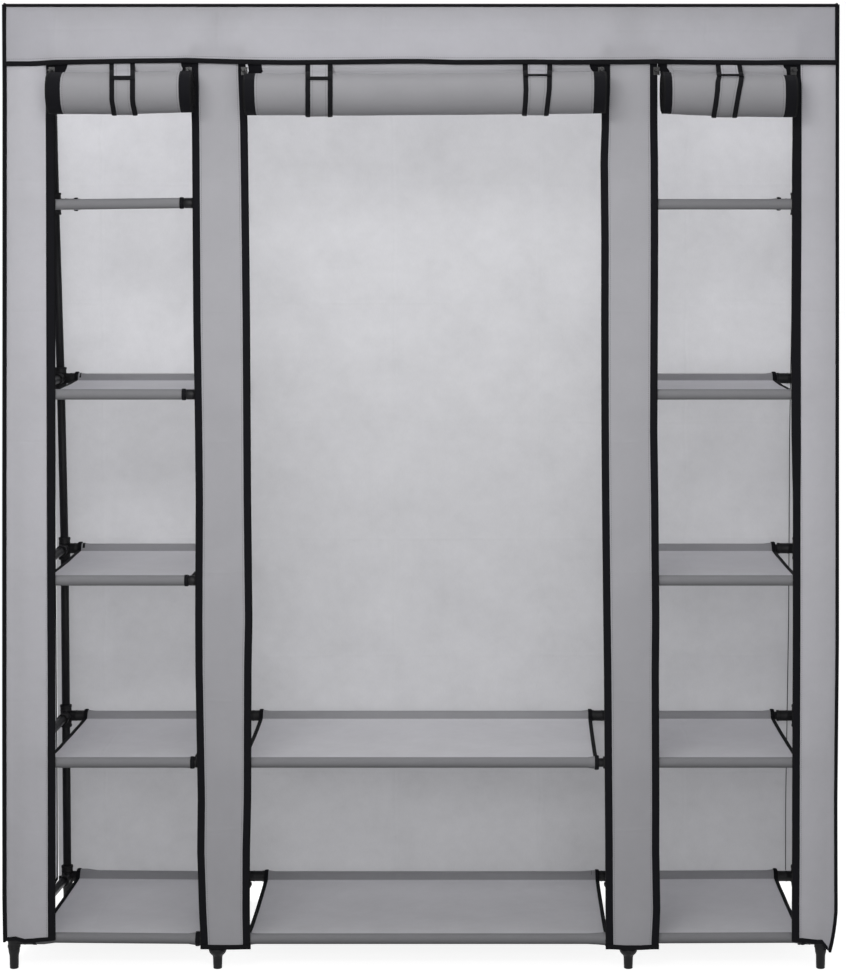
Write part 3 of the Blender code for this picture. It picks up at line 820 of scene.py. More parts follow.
# %% The cloth of one shelf
def make_shelf(node, ends, posts, level, rise, sag, droops, seed):
    """ends are the places of the cloth's left edge at the front and back, and of its right edge.

    droops are how much lower its left and right ends lie.
    """
    left_front, left_back, right_front, right_back = ends
    columns = max(8, round((right_front - left_front) / 0.020))
    by_column = []
    for column in range(columns + 1):
        share = column / columns
        front_x = left_front + (right_front - left_front) * share
        back_x = left_back + (right_back - left_back) * share
        to_post = min(front_x - posts[0], posts[1] - front_x, back_x - posts[0], posts[1] - back_x)
        # Over the arm of a joint the sleeve is wider.
        sleeve = SLEEVE + 0.0028 * clamp((0.050 - to_post) / 0.008)
        path = []
        for y, z in shelf_line(level, rise, sag, sleeve):
            deep = clamp((y - front_post_y) / (back_post_y - front_post_y))
            x = front_x + (back_x - front_x) * deep
            loose = clamp((min(y - front_post_y, back_post_y - y) - SEAM_REACH) / 0.04)
            z += loose * 0.0010 * slow_noise(x * 9, y * 14, seed)
            z -= droops[0] + (droops[1] - droops[0]) * share
            path.append((x, y, z))
        by_column.append(path)
    points = [[path[row] for path in by_column] for row in range(len(by_column[0]))]
    along = lengths_along(np.array(by_column[0]))
    cloth = [[(x - left_front, distance) for x, y, z in row] for row, distance in zip(points, along)]
    seam = []
    for row in points:
        y = row[0][1]
        to_seam = min(abs(y - front_post_y), abs(back_post_y - y)) - SEAM_REACH
        seam.append([(to_seam, x - left_front) for x, y, z in row])
    work = Work()
    turns = (len(points) - SAG_STEPS - 1) // 2
    finishes = [2] * turns + [0] * SAG_STEPS + [3] * turns
    lay_cloth(work, points, cloth, seam, CLOTH_THICKNESS, [[number] * columns for number in finishes])
    for column, inward in ((0, RIGHT), (columns, LEFT)):
        edge = by_column[column][2:-2]
        way = np.gradient(np.array(edge), axis=0)
        way /= np.linalg.norm(way, axis=1, keepdims=True)
        facing = [(0, -rise, forward) for x, forward, rise in way]
        bind_edge(work, edge, inward, facing, NARROW_BINDING, 0.0030, 1)
    return work.make(node + "_cloth", [shelf_cloth, binding, sleeve_cloth, rear_sleeve_cloth]), along[-1]


# %% Ten side shelves and two wide ones, each on its two tubes
# How far the cloth starts from the left post, at the front and the back, and from the right post.
shelf_ends = {
    "left_shelf_1": (0.016, 0.027, 0.040, 0.040),
    "left_shelf_2": (0.034, 0.044, 0.048, 0.048),
    "left_shelf_3": (0.032, 0.034, 0.057, 0.050),
    "left_shelf_4": (0.032, 0.030, 0.060, 0.052),
    "left_shelf_5": (0.030, 0.030, 0.062, 0.054),
    "middle_shelf_1": (0.043, 0.043, 0.031, 0.027),
    "middle_shelf_2": (0.034, 0.034, 0.051, 0.042),
    "right_shelf_1": (0.034, 0.034, 0.034, 0.030),
    "right_shelf_5": (0.034, 0.034, 0.030, 0.030),
}
# How much lower the ends of some shelves lie.
shelf_droops = {
    "left_shelf_1": (-0.0026, 0.0),
    "left_shelf_5": (0.0010, -0.0022),
    "right_shelf_1": (-0.0010, -0.0022),
}
columns_of_shelves = (
    ("left", -outer_x, -inner_x, 5, 0.0020),
    ("middle", -inner_x, inner_x, 2, 0.0055),
    ("right", inner_x, outer_x, 5, 0.0020),
)
for column, left, right, count, sag in columns_of_shelves:
    for number in range(1, count + 1):
        node = f"{column}_shelf_{number}"
        level = levels[number - 1]
        from_posts = shelf_ends.get(node, (0.036, 0.036, 0.040, 0.038))
        ends = (left + from_posts[0], left + from_posts[1], right - from_posts[2], right - from_posts[3])
        rise = back_rises[number - 1]
        dip = sag if number < 5 else 0.0004
        droops = shelf_droops.get(node, (0, 0))
        seed = 7.1 * number + left * 3
        cloth, length = make_shelf(node, ends, (left, right), level, rise, dip, droops, seed)
        posts_gap = from_posts[2] - ARM_REACH
        work = Work()
        for y in (front_post_y, back_post_y):
            ends_x = (post_x(left, y, level) + TUBE_INSET, post_x(right, y, level) - TUBE_INSET)
            z = level_at(number - 1, y)
            add_tube(work, (ends_x[0], y, z - droops[0]), (ends_x[1], y, z - droops[1]))
        # The left column's front tubes show bare plastic between the cloth and the joint. Here the collar is
        # turned with the tubes and takes their steel finish.
        if column == "left" and posts_gap > 0.005:
            collar = posts_gap - 0.002
            profile = [(0, 0.0084), (0.001, 0.0094), (collar - 0.001, 0.0094), (collar, 0.0084)]
            turn_part(work, (ends[2] + 0.0016, front_post_y, level - droops[1]), (1, 0, 0), profile, sides=24)
        place_piece(cloth, WARDROBE, "shelf_cloth", node)
        place_piece(work.make(node + "_tubes", [steel]), WARDROBE, "black_steel", node)
        ends[2] - ends[0]
        node + "_tubes"
print("12 shelves laid over 24 tubes")

# %% [markdown]
# ## The lines of the zips
# The free edges of the cover's front strips are not quite straight: cloth and zip tape wander a few
# millimetres, and the cover flares a little towards the floor. Each line is a short table of height and
# place, read off the photograph, and it passes through the zip slider at the top.

# %% Tables of the six zip lines
heights = (0.043, 0.111, 0.221, 0.313, 0.55, 0.641, 0.859, 0.985, 1.184, 1.327, 1.47, 1.533, 1.627)
zip_lines = {
    1: (
        -0.6700, -0.6699, -0.6691, -0.6685, -0.6668, -0.6661, -0.6639, -0.6631, -0.6618, -0.6607, -0.6599,
        -0.6600, -0.6600,
    ),
    2: (
        -0.4032, -0.4064, -0.4092, -0.4076, -0.4107, -0.4107, -0.4086, -0.4092, -0.4113, -0.4115, -0.4117,
        -0.4119, -0.4149,
    ),
    3: (
        -0.3162, -0.3168, -0.3161, -0.3135, -0.3120, -0.3099, -0.3114, -0.3116, -0.3119, -0.3129, -0.3142,
        -0.3149, -0.3180,
    ),
    4: (
        0.3332, 0.3321, 0.3315, 0.3306, 0.3282, 0.3268, 0.3239, 0.3226, 0.3216, 0.3215, 0.3197,
        0.3217, 0.3211,
    ),
    5: (
        0.4259, 0.4288, 0.4265, 0.4264, 0.4248, 0.4253, 0.4227, 0.4204, 0.4207, 0.4207, 0.4199,
        0.4186, 0.4182,
    ),
    6: (
        0.6709, 0.6705, 0.6705, 0.6700, 0.6696, 0.6693, 0.6681, 0.6648, 0.6634, 0.6635, 0.6629,
        0.6638, 0.6645,
    ),
}
# The outer tapes show wider towards the top. Each entry is heights and widths.
tape_widths = {
    1: (
        (0.55, 0.64, 0.86, 0.98, 1.33, 1.47, 1.533, 1.627),
        (0.0123, 0.0129, 0.0141, 0.0141, 0.0149, 0.0149, 0.0146, 0.0133),
    ),
    2: ((1.55, 1.60), (0.0121, 0.0139)),
    4: ((1.55, 1.60), (0.0121, 0.0139)),
    6: ((0.86, 0.98, 1.47, 1.533, 1.60, 1.627), (0.0121, 0.0154, 0.0154, 0.0140, 0.0136, 0.0112)),
}

# %% Tables of the outer corners and hems
# Height and place of the front corners, and place and height of the hems beside them.
corner_lines = {
    -1: (
        (0.04, -0.7619), (0.13, -0.7625), (0.50, -0.7596), (0.86, -0.7564), (1.22, -0.7528),
        (1.60, -0.7494), (1.75, -0.7490),
    ),
    1: (
        (0.0319, 0.7365), (0.0558, 0.7420), (0.0834, 0.7471), (0.1128, 0.7498), (0.1578, 0.7492),
        (0.31, 0.7478), (0.60, 0.7486), (1.22, 0.7446), (1.60, 0.7421), (1.75, 0.7418),
    ),
}
hem_lines = {
    -1: (
        (-0.7636, 0.0500), (-0.7560, 0.0543), (-0.7470, 0.0577), (-0.7394, 0.0558), (-0.7242, 0.0514),
        (-0.7005, 0.0534), (-0.6824, 0.0547), (-0.6702, 0.0562),
    ),
    1: (
        (0.6721, 0.0530), (0.6883, 0.0530), (0.7121, 0.0507), (0.7260, 0.0500), (0.7325, 0.0400),
        (0.7395, 0.0311),
    ),
}


# %% Where a zip lies at a height
def zip_x(number, z):
    return float(np.interp(z, heights, zip_lines[number]))


for number in zip_lines:
    slider = middle_of(f"zip_slider_{number}")
    print(f"zip {number}: edge {zip_x(number, slider.z):.4f}, slider {slider.x:.4f}")

# %% [markdown]
# ## Zip tape on an edge
# A black tape covers each free edge, with the zip's coil as a thin bead along its rim. It is sewn to strips,
# side panels and doors alike: 12 to 15 mm wide on the cover, and up to 26 mm on the doors.


# %% Sew a zip tape with its coil
TAPE_WIDTH = 0.0121
# The cloth is stitched to the tape this far from its edge.
STITCH_INSET = 0.0115


def sew_zip(work, path, inward, width=TAPE_WIDTH):
    """Tape is the second finish of each cloth, and coil the third."""
    bind_edge(work, path, inward, FORWARD, width, 0.0022, 1)
    bead = [(x, y + 0.0006, z) for x, y, z in path]
    sew_cord(work, bead, 0.0017, 2, sides=6)


def zip_widths(number, rows):
    """The width of a zip tape at each of the heights."""
    return np.interp(rows, *tape_widths[number]) if number in tape_widths else TAPE_WIDTH


def hang_heights(top, rows):
    return [hem_z + (top - hem_z) * row / rows for row in range(rows + 1)]


# %% [markdown]
# ## The inner strips
# Two strips of cover cloth hide the inner posts. Each hangs from the header, bulges over the joints behind
# it, and carries half a zip at both sides and a black hem. Slow noise gives it the long soft waves of a
# hanging cloth, strongest in its middle, away from the zipped edges.


# %% Make the inner strips
strip_top = header_z + 0.03


def make_inner_strip(node, left_zip, right_zip, seed):
    work = Work()
    rows = hang_heights(strip_top, 110)
    points, cloth, seam = [], [], []
    for z in rows:
        low, high = zip_x(left_zip, z), zip_x(right_zip, z)
        row, spots, seams = [], [], []
        near_joint = max(bell(z - level, 0.05) for level in levels)
        hung = min(1.0, (strip_top - z) / 0.09)
        width = high - low
        inner_marks = np.linspace(0.019, width - 0.019, 11)
        for mark in (0, 0.006, 0.012, *inner_marks, width - 0.012, width - 0.006, width):
            x = low + mark
            free = clamp((min(mark, width - mark) - 0.010) / 0.022)
            bulge = free * (0.0012 + 0.0022 * near_joint)
            wave = free * slow_noise(x * 13, z * 2.6, seed) * 0.0032
            row.append((x, front_y + 0.0004 - hung * (bulge + max(wave, -0.0006 - bulge)), z))
            spots.append((mark, z))
            seams.append((min(mark, high - x) - STITCH_INSET, z))
        points.append(row)
        cloth.append(spots)
        seam.append(seams)
    lay_cloth(work, points, cloth, seam, CLOTH_THICKNESS)
    for number, column, inward in ((left_zip, 0, RIGHT), (right_zip, -1, LEFT)):
        sew_zip(work, [row[column] for row in points], inward, width=zip_widths(number, rows))
    hem = [(x, y - 0.0006, z) for x, y, z in points[0]]
    hem = [(hem[0][0] - 0.0022, *hem[0][1:]), *hem, (hem[-1][0] + 0.0022, *hem[-1][1:])]
    bind_edge(work, hem, UP, FORWARD, WIDE_BINDING, 0.0034, 3)
    item = work.make(node + "_cloth", [shaded_strip_cloth, zip_tape, zip_coil, binding])
    place_piece(item, WARDROBE, "cover_cloth", node)


make_inner_strip("inner_left_strip", 2, 3, 3.7)
make_inner_strip("inner_right_strip", 4, 5, 8.2)
print("inner strips hang from", round(strip_top, 3), "to", round(hem_z, 3))

# %% [markdown]
# ## The side panels
# Each side panel is one cloth that starts at the outer zip, folds round the front post and covers the whole
# side. A black piping is sewn into its front and back corners. It bellies out gently between the posts and
# passes over the joints and the leaning back post, and the right one curls in at the bottom of its front
# corner, as in the photograph.

# %% The way of a side panel round the frame
corner_rounds = {-1: 0.0056, 1: 0.0036}
outer_zips = {-1: 1, 1: 6}
# The ninth to twelfth points of a path go round the front corner. The piping is sewn to this one.
CORNER = 10
# How far a cloth stays from the middle of a tube and of a joint, and how steeply it comes back beside them.
OVER_TUBE = 0.0104
OVER_JOINT = 0.0142
TENT = 6


def side_path(side, z):
    """Points (x, y) from the zip edge to the back corner at one height."""
    edge = zip_x(outer_zips[side], min(z, 1.60))
    out = side * look_up(corner_lines[side], z)
    corner_round = corner_rounds[side]
    share_z = (z - hem_z) / (roof_z - hem_z)
    belly = 0.006 * (1 - (2 * share_z - 1) ** 4)
    path = []
    width = out - corner_round - side * edge
    for mark in (0, 0.006, 0.012, 0.018, *np.linspace(0.024, width, 5)):
        free = clamp((mark - 0.016) / 0.02) * (1 - (mark / width) ** 4)
        path.append((edge + side * mark, front_y + 0.0002 - (0.002 * free if z < header_z else 0)))
    for degrees in (30, 60, 90):
        angle = math.radians(degrees)
        x = side * (out - corner_round + corner_round * math.sin(angle))
        path.append((x, front_y + 0.0002 + corner_round * (1 - math.cos(angle))))
    for step in range(1, 19):
        share = step / 18
        settled = min(1, share * 2.5)
        x = side * (out + (corner_x - out) * settled + belly * math.sin(math.pi * share))
        path.append((x, front_y + 0.007 + (back_y - front_y - 0.009) * share))
    return path


def clear_of_frame(side, y, z):
    """How far out the cloth has to lie to pass over an outer post, its joints and the rails between them."""
    x = side * outer_x
    off = max(0, off_level(z) - 0.006)
    needs = []
    for post_y in (front_post_y, back_post_y):
        post = side * post_x(x, post_y, z)
        needs.append(post + OVER_TUBE - TENT * (y - post_y) ** 2)
        from_arm = max(0, abs(y - post_y) - 0.044)
        needs.append(post + OVER_JOINT - TENT * (from_arm**2 + off**2))
    share = (y - front_post_y) / (back_post_y - front_post_y)
    rail = side * (post_x(x, front_post_y, z) * (1 - share) + post_x(x, back_post_y, z) * share)
    return max(*needs, rail + OVER_TUBE - TENT * off**2)


# %% The cloth of one side panel
def make_side_panel(side, seed):
    work = Work()
    points, cloth, seam = [], [], []
    for z in hang_heights(roof_z - 0.0025, 96):
        path = side_path(side, z)
        near_hem = max(0, 1 - (z - hem_z) / 0.12)
        corner_lift = look_up(hem_lines[side], path[CORNER][0]) - hem_z
        along = lengths_along(np.array(path))
        row = []
        for number, (x, y) in enumerate(path):
            wave = slow_noise(y * 7 + x * 3, z * 2.6, seed) * 0.004
            if number > 12:
                inset = math.sin(math.pi * (number - 12) / (len(path) - 12))
                x = side * max(side * (x + side * wave * inset), clear_of_frame(side, y, z))
            elif z < header_z and 3 < number < 9:
                y -= max(wave, -0.001) * 0.5
            lift = look_up(hem_lines[side], x) - hem_z
            if number > CORNER:
                lift = corner_lift * max(0, (15 - number) / 4)
            row.append((x, y, z + lift * near_hem))
        points.append(row)
        cloth.append([(distance, z) for distance in along])
        seam.append([(distance - STITCH_INSET, z) for distance in along])
    # The right panel's rows run the other way, so that both face outward.
    lay_cloth(work, *[[row[::-side] for row in grid] for grid in (points, cloth, seam)], 0)
    below = [row[0] for row in points if row[0][2] < header_z + 0.02]
    widths = zip_widths(outer_zips[side], [z for x, y, z in below])
    sew_zip(work, below, (side, 0, 0), width=widths)
    return work, points


# %% Make both side panels, with their piping and hems
for side, word, seed in ((-1, "left", 1.3), (1, "right", 5.9)):
    node = f"{word}_side_panel"
    work, points = make_side_panel(side, seed)
    for column, out, back in ((CORNER, 0.0012, -0.0012), (-1, 0.0008, 0.0008)):
        piping = [(x + side * out, y + back, z) for x, y, z in (row[column] for row in points)]
        sew_cord(work, piping, PIPING_RADIUS, 3)
    band = []
    for row in points:
        turned = [math.radians(degrees) for degrees in (0, 30, 60)]
        outward = [(side * math.sin(turn) * 0.0012, -math.cos(turn) * 0.0012) for turn in turned]
        band.append([(x + out_x, y + out_y, z) for (x, y, z), (out_x, out_y) in zip(row[8:11], outward)])
    spots = [[(distance, row[0][2]) for distance in (0, 0.0036, 0.0072)] for row in band]
    lay_cloth(work, band, spots, [[NO_SEAM] * 3 for row in band], 0.0014, 3)
    hem = points[0]
    bind_edge(work, hem[:9], UP, FORWARD, NARROW_BINDING, 0.0030, 3)
    bind_edge(work, hem[CORNER:], UP, (side, 0, 0), NARROW_BINDING, 0.0030, 3)
    item = work.make(node + "_cloth", [lit_side_cloth, zip_tape, zip_coil, binding])
    place_piece(item, WARDROBE, "cover_cloth", node)
print("side panels reach from the zips to the back corners")

# %% [markdown]
# ## The back panel
# The back is one thin cloth across all three columns, lighter than the cover because it has no lining. It
# still shows the grid of fold lines from its packet. The folds are in the material, and slow waves in the
# mesh let the light fall unevenly over it. It passes over the joints, and its edges meet the side panels.

# %% Make the back panel
# How far its outer face stays from the middle of a back joint.
OVER_BACK_JOINT = 0.0166
work = Work()
columns, rows = 72, 76
reach = corner_x - 0.002
points, cloth, seam = [], [], []
for z in (hem_z + (roof_z - 0.003 - hem_z) * row / rows for row in range(rows + 1)):
    left, right = (max(corner_x, clear_of_frame(side, back_y, z)) - 0.002 for side in (-1, 1))
    line = []
    for column in range(columns + 1):
        x = -left + (left + right) * column / columns
        by_post = max(bell(x - post, 0.03) for post in POSTS)
        wave = 0.0022 * (slow_noise(x * 4.3, z * 3.1, 2.2) + 0.35) + 0.0012 * slow_noise(x * 3, z * 16, 9.4)
        y = back_y - 0.0007 + (1 - by_post) * max(wave, -0.0005)
        for post in POSTS:
            off = max(0, math.hypot(x - post_x(post, back_y, z), off_level(z)) - 0.010)
            y = max(y, back_post_y + OVER_BACK_JOINT - TENT * off**2)
        line.append((x, y, z))
    points.append(line)
    cloth.append([(point[0] + reach, z) for point in line])
    seam.append([(reach - abs(point[0]) - 0.006, z) for point in line])
lay_cloth(work, points, cloth, seam, 0)
bind_edge(work, points[0], UP, BACKWARD, NARROW_BINDING, 0.0028, 1)
# A thin dark seam runs down inside it near the right posts.
seam_places = ((0.05, 0.7177), (0.20, 0.7171), (0.565, 0.7208), (0.946, 0.7206), (1.70, 0.7300))
seam_line = [(look_up(seam_places, z), back_y - 0.0045, z) for z in np.linspace(0.06, 1.70, 40)]
sew_cord(work, seam_line, 0.0008, 1, sides=6)
item = work.make("back_cloth", [back_cloth, binding])
place_piece(item, WARDROBE, "cover_cloth", "back_panel")
print("back panel of", columns * rows, "patches")

# %% [markdown]
# ## The roof and the header
# The roof cloth lies on the top tubes and folds over the front edge. There it hangs 106 mm down as the
# header, in front of the strips and the zips' ends. Piping marks the roof's rim, and the header's lower edge
# is bound in black and waves a little, because nothing holds it. Over each zip it stands 10 mm forward, which
# leaves room for the zip pull when it is lifted.

# %% The line of the roof and header from back to front
# How much higher than usual the lower edge lies, at places across.
HEADER_EDGE = (
    (-0.744, -0.0032), (-0.70, -0.0032), (-0.65, -0.0006), (-0.60, 0.0003), (-0.50, 0.0020), (-0.42, 0.0026),
    (-0.37, 0.0014), (-0.32, -0.0002), (-0.23, -0.0010), (-0.13, 0.0000), (-0.05, 0.0010), (0.0, 0.0010),
    (0.06, -0.0006), (0.20, 0.0000), (0.24, -0.0006), (0.30, -0.0006), (0.42, 0.0004), (0.50, -0.0006),
    (0.60, -0.0014), (0.66, -0.0008), (0.744, -0.0010),
)
ROOF_ROUND = 0.006
roof_top = roof_z - 0.0008
# How far the header stands forward over a zip.
ROOM_FOR_PULL = 0.0062


def header_line(x):
    """Points (y, z) from the back of the roof to the header's lower edge, at one place across."""
    over_zip = max(bell(x - zip_x(number, 1.62), 0.016) for number in zip_lines)
    by_post = max(bell(x - post, 0.05) for post in POSTS)
    line = []
    for step in range(22):
        share = step / 21
        y = back_y - (back_y - front_y - ROOF_ROUND) * share
        line.append((y, roof_top - 0.004 * (1 - by_post) * math.sin(math.pi * share) ** 2))
    for degrees in (22, 45, 68, 90):
        angle = math.radians(degrees)
        y = front_y + ROOF_ROUND - 0.0062 * math.sin(angle)
        line.append((y, roof_top - ROOF_ROUND * (1 - math.cos(angle))))
    bottom = header_z - 0.0022 + look_up(HEADER_EDGE, x)
    for step in range(1, 15):
        share = step / 14
        wave = slow_noise(x * 5.5, share * 0.8, 6.6) * 0.0024 * share
        y = front_y - 0.0004 - (0.0036 + ROOM_FOR_PULL * over_zip) * share**1.3 - max(wave, -0.001)
        line.append((y, roof_top - ROOF_ROUND + (bottom - roof_top + ROOF_ROUND) * share))
    return line


# %% Make the roof and header as one cloth
work = Work()
columns = 96
roof_left, roof_right = look_up(corner_lines[-1], 1.7) + 0.002, look_up(corner_lines[1], 1.7) - 0.002
places = [roof_left + (roof_right - roof_left) * column / columns for column in range(columns + 1)]
points = [[(x, y, z) for x, (y, z) in zip(places, row)] for row in zip(*[header_line(x) for x in places])]
along = lengths_along(np.array([row[columns // 2] for row in points]))
cloth = [[(x + 0.75, distance) for x in places] for distance in along]
seam = [[(along[-1] - distance - WIDE_BINDING, x + 0.75) for x in places] for distance in along]
lay_cloth(work, points[::-1], cloth[::-1], seam[::-1], 0)
bind_edge(work, points[-1], UP, FORWARD, WIDE_BINDING, 0.0034, 1)
front_rim = [(x, front_y + 0.0003, roof_z - 0.0042) for x in np.linspace(roof_left, roof_right, 60)]
sew_cord(work, front_rim, 0.0031, 1)
for x, column, inward in ((roof_left, 0, RIGHT), (roof_right, -1, LEFT)):
    side_rim = [(x, y, roof_z - 0.0018) for y in np.linspace(front_y + 0.001, back_y, 24)]
    sew_cord(work, side_rim, PIPING_RADIUS, 1)
    bind_edge(work, [row[column] for row in points[25:]], inward, FORWARD, 0.0035, 0.0026, 1)
rear_rim = [(x, back_y, roof_z - 0.0018) for x in np.linspace(roof_left, roof_right, 40)]
sew_cord(work, rear_rim, PIPING_RADIUS, 1)
roof = work.make("roof_and_header", [cover_cloth, binding])
place_piece(roof, WARDROBE, "cover_cloth", "top_cover")
print(f"roof and header cloth {along[-1]:.3f} m from back to lower edge")

# %% [markdown]
# ## The rolled doors
# A rolled door is one long cloth wound about itself, so its end shows a spiral of layers. It is built as it
# is wound: the line starts at the back of the roll, where the cloth comes down from the header, turns
# forward under the roll and goes inward. Tape and coil run along both ends, as on the real door.
#
# When a door comes down, the roll would unwind.

# %% Where the rolls lie
ROLL_RADIUS = 0.04275
ROLL_STEP = 0.0038
ROLL_TURNS = 10.4
STEPS_IN_TURN = 36
roll_y = front_y - 0.0003 - ROLL_RADIUS
roll_z = header_z - 0.00925 - ROLL_RADIUS
doors = {"left_door": (1, 2), "middle_door": (3, 4), "right_door": (5, 6)}
# Where each roll starts and ends, how much higher its ends lie, and how wide the tapes along them are.
roll_ends = {
    "left_door": (-0.6610, -0.4050),
    "middle_door": (-0.3140, 0.3250),
    "right_door": (0.4235, 0.6610),
}
tilts = {"left_door": (0, 0.0030), "middle_door": (-0.0022, 0.0012), "right_door": (0.0006, -0.0058)}
roll_bands = {
    "left_door": (0.0263, 0.0214),
    "middle_door": (0.0203, 0.0228),
    "right_door": (0.0156, 0.0226),
}


def rolled_body(door):
    return door.replace("_door", "_rolled_door")


# %% The spiral line of a roll
def roll_radius(turns, angle, share, seed):
    """Distance from the roll's middle. Slow noise makes it a little uneven, as cloth rolled by hand is."""
    loose = slow_noise(share * 5, math.cos(angle) * 0.6, math.sin(angle) * 0.6 + seed)
    return ROLL_RADIUS - turns * ROLL_STEP - 0.0006 + 0.0011 * loose * min(1, turns * 2)


def roll_shift(door, x):
    """How much higher than its place a roll lies at x, because it tilts and hangs through."""
    low, high = roll_ends[door]
    share = (x - low) / (high - low)
    left_rise, right_rise = tilts[door]
    return left_rise + (right_rise - left_rise) * share - 0.0015 * math.sin(math.pi * share)


def smooth(share):
    return share * share * (3 - 2 * share)


def settle(rise):
    """Flattens the roll's top, which is pressed under the header. rise is the height above its middle."""
    return rise - 0.0077 * smooth(clamp((rise - 0.012) / (ROLL_RADIUS - 0.012)))


# %% The cloth of one roll
def make_roll(door, seed):
    low, high = roll_ends[door]
    width = high - low
    left_band, right_band = roll_bands[door]
    inner = list(np.linspace(left_band, width - right_band, max(10, round(width / 0.02))))
    marks = [0, 0.0035, 0.010, left_band - 0.0015, left_band, *inner[1:-1]]
    marks += [width - right_band, width - right_band + 0.0015, width - 0.010, width - 0.0035, width]
    finish = [2, 1, 1, 1] + [0] * (len(marks) - 9) + [1, 1, 1, 2]
    points = []
    for step in range(round(ROLL_TURNS * STEPS_IN_TURN) + 1):
        turns = step / STEPS_IN_TURN
        angle = -2 * math.pi * turns
        row = []
        for mark in marks:
            share = mark / width
            radius = roll_radius(turns, angle, share, seed)
            y = roll_y + radius * math.cos(angle)
            z = roll_z + settle(radius * math.sin(angle)) + roll_shift(door, low + mark)
            drift = 0.002 * slow_noise(turns * 1.7, share * 2, seed + 4)
            row.append((low + mark + drift * (2 * share - 1), y, z))
        points.append(row)
    along = lengths_along(np.array([row[len(row) // 2] for row in points]))
    cloth = [[(mark, wound) for mark in marks] for wound in along]
    seam = [[(min(mark - left_band, width - right_band - mark), wound) for mark in marks] for wound in along]
    work = Work()
    lay_cloth(work, points, cloth, seam, DOOR_THICKNESS, finish)
    return work.make(f"{door}_wound_cloth", [shaded_roll_cloth, zip_tape, zip_coil]), float(along[-1])


# %% Wind the three doors
for door, seed in (("left_door", 1.1), ("middle_door", 4.5), ("right_door", 7.7)):
    item, wound = make_roll(door, seed)
    place_piece(item, rolled_body(door), "cover_cloth", f"{door}_roll")
    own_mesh(item)
    width = roll_ends[door][1] - roll_ends[door][0]
    strap = f"{door}_strap_1_cloth" if door == "middle_door" else f"{door}_strap_cloth"
    print(f"{door}: {wound:.2f} m of cloth in {ROLL_TURNS} turns")

# %% [markdown]
# ## The flat part of a door
# Between the header and the roll a short flat piece of each door is left. When the roll comes down, this
# piece becomes the whole door. Its points follow the header at the top and the roll at the bottom, and in
# between they are spread so that they lie evenly once the door is down. Its side edges are shaped to meet the
# leaning zips then.


# %% How a flat part stretches, and where its edges lie
def even_when_down(share):
    """The place in the rest shape whose smooth weight is the share, so that rows end up evenly spread."""
    low, high = 0.0, 1.0
    for _ in range(40):
        guess = (low + high) / 2
        if smooth(guess) < share:
            low = guess
        else:
            high = guess
    return (low + high) / 2


flat_tapes = {
    "left_door": (0.0255, 0.0194),
    "middle_door": (0.0231, 0.0219),
    "right_door": (0.0152, 0.0176),
}
FLAT_ROWS = 48
# The whole door's length when it is down, and how far down its edges leave the zips to clear the sliders.
DOOR_LENGTH = 1.55
NEAR_SLIDER = 1.40
top = header_z + 0.012
low = header_z - 0.034


def door_edge(number, side, down):
    """Where the edge by a zip lies. side points from the zip into the door."""
    at_rest = middle_of(f"zip_slider_{number}").x + side * 0.0016
    by_slider = clamp((down - NEAR_SLIDER) / 0.1)
    zipped = min(1, down / 0.3, 1 - by_slider)
    zip_line = zip_x(number, top - down) + side * 0.0012
    return at_rest * (1 - zipped) + zip_line * zipped + side * 0.0064 * by_slider


# %% Make the flat parts between the header and the roll
for door, (left_zip, right_zip) in doors.items():
    width = door_edge(right_zip, -1, 0) - door_edge(left_zip, 1, 0)
    marks = [0, 0.012, *np.linspace(0.02, width - 0.02, max(6, round(width / 0.04))), width - 0.012, width]
    points, cloth, seam = [], [], []
    for row in range(FLAT_ROWS, -1, -1):
        down = row / FLAT_ROWS * DOOR_LENGTH
        z = top - (top - low) * even_when_down(row / FLAT_ROWS)
        left, right = door_edge(left_zip, 1, down), door_edge(right_zip, -1, down)
        points.append([(left + (right - left) * mark / width, front_y + 0.0006, z) for mark in marks])
        cloth.append([(mark, down) for mark in marks])
        seam.append([(min(mark, width - mark) - 0.019, down) for mark in marks])
    work = Work()
    lay_cloth(work, points, cloth, seam, DOOR_THICKNESS)
    for column, inward, tape_width in zip((0, -1), (RIGHT, LEFT), flat_tapes[door]):
        sew_zip(work, [row[column] for row in points], inward, width=tape_width)
    item = work.make(f"{door}_flat_cloth", [lit_door_cloth, zip_tape, zip_coil])
    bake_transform(item)
    place_piece(item, None, "cover_cloth", f"{door}_curtain")
    top - low
print("flat parts reach from", round(top, 3), "down to", round(low, 3))

# %% [markdown]
# ## The straps
# Each strap is a band of the same cloth with bound edges. It comes out from under the header, goes over the
# roll and under it, and up behind the door. Its free end, bound too, shows as a dark line across it near the
# top. The straps were fastened by hand, so they lean a little.

# %% The line of a strap round the roll
STRAP_LIFT = 0.0011
WRAP_STEPS = 60
# The camera sees the points of a strap up to this one.
LAST_SEEN = 50


def strap_line():
    """Points (y, z) from the header over the roll, round its front and under it, and up behind the door."""
    line = [(front_y + 0.0012, header_z + 0.004), (front_y - 0.0002, header_z - 0.004)]
    top_angle, end_angle = math.radians(62), math.radians(322)
    for step in range(WRAP_STEPS + 1):
        angle = top_angle + (end_angle - top_angle) * step / WRAP_STEPS
        turns = 1 - angle / (2 * math.pi)
        radius = ROLL_RADIUS + STRAP_LIFT - ROLL_STEP * max(0, turns) * 0.8
        line.append((roll_y + radius * math.cos(angle), roll_z + settle(radius * math.sin(angle))))
    behind = [(front_y + 0.0030, roll_z - 0.012), (front_y + 0.0034, roll_z + 0.015)]
    return [*line, *behind, (front_y + 0.0034, header_z - 0.002)]


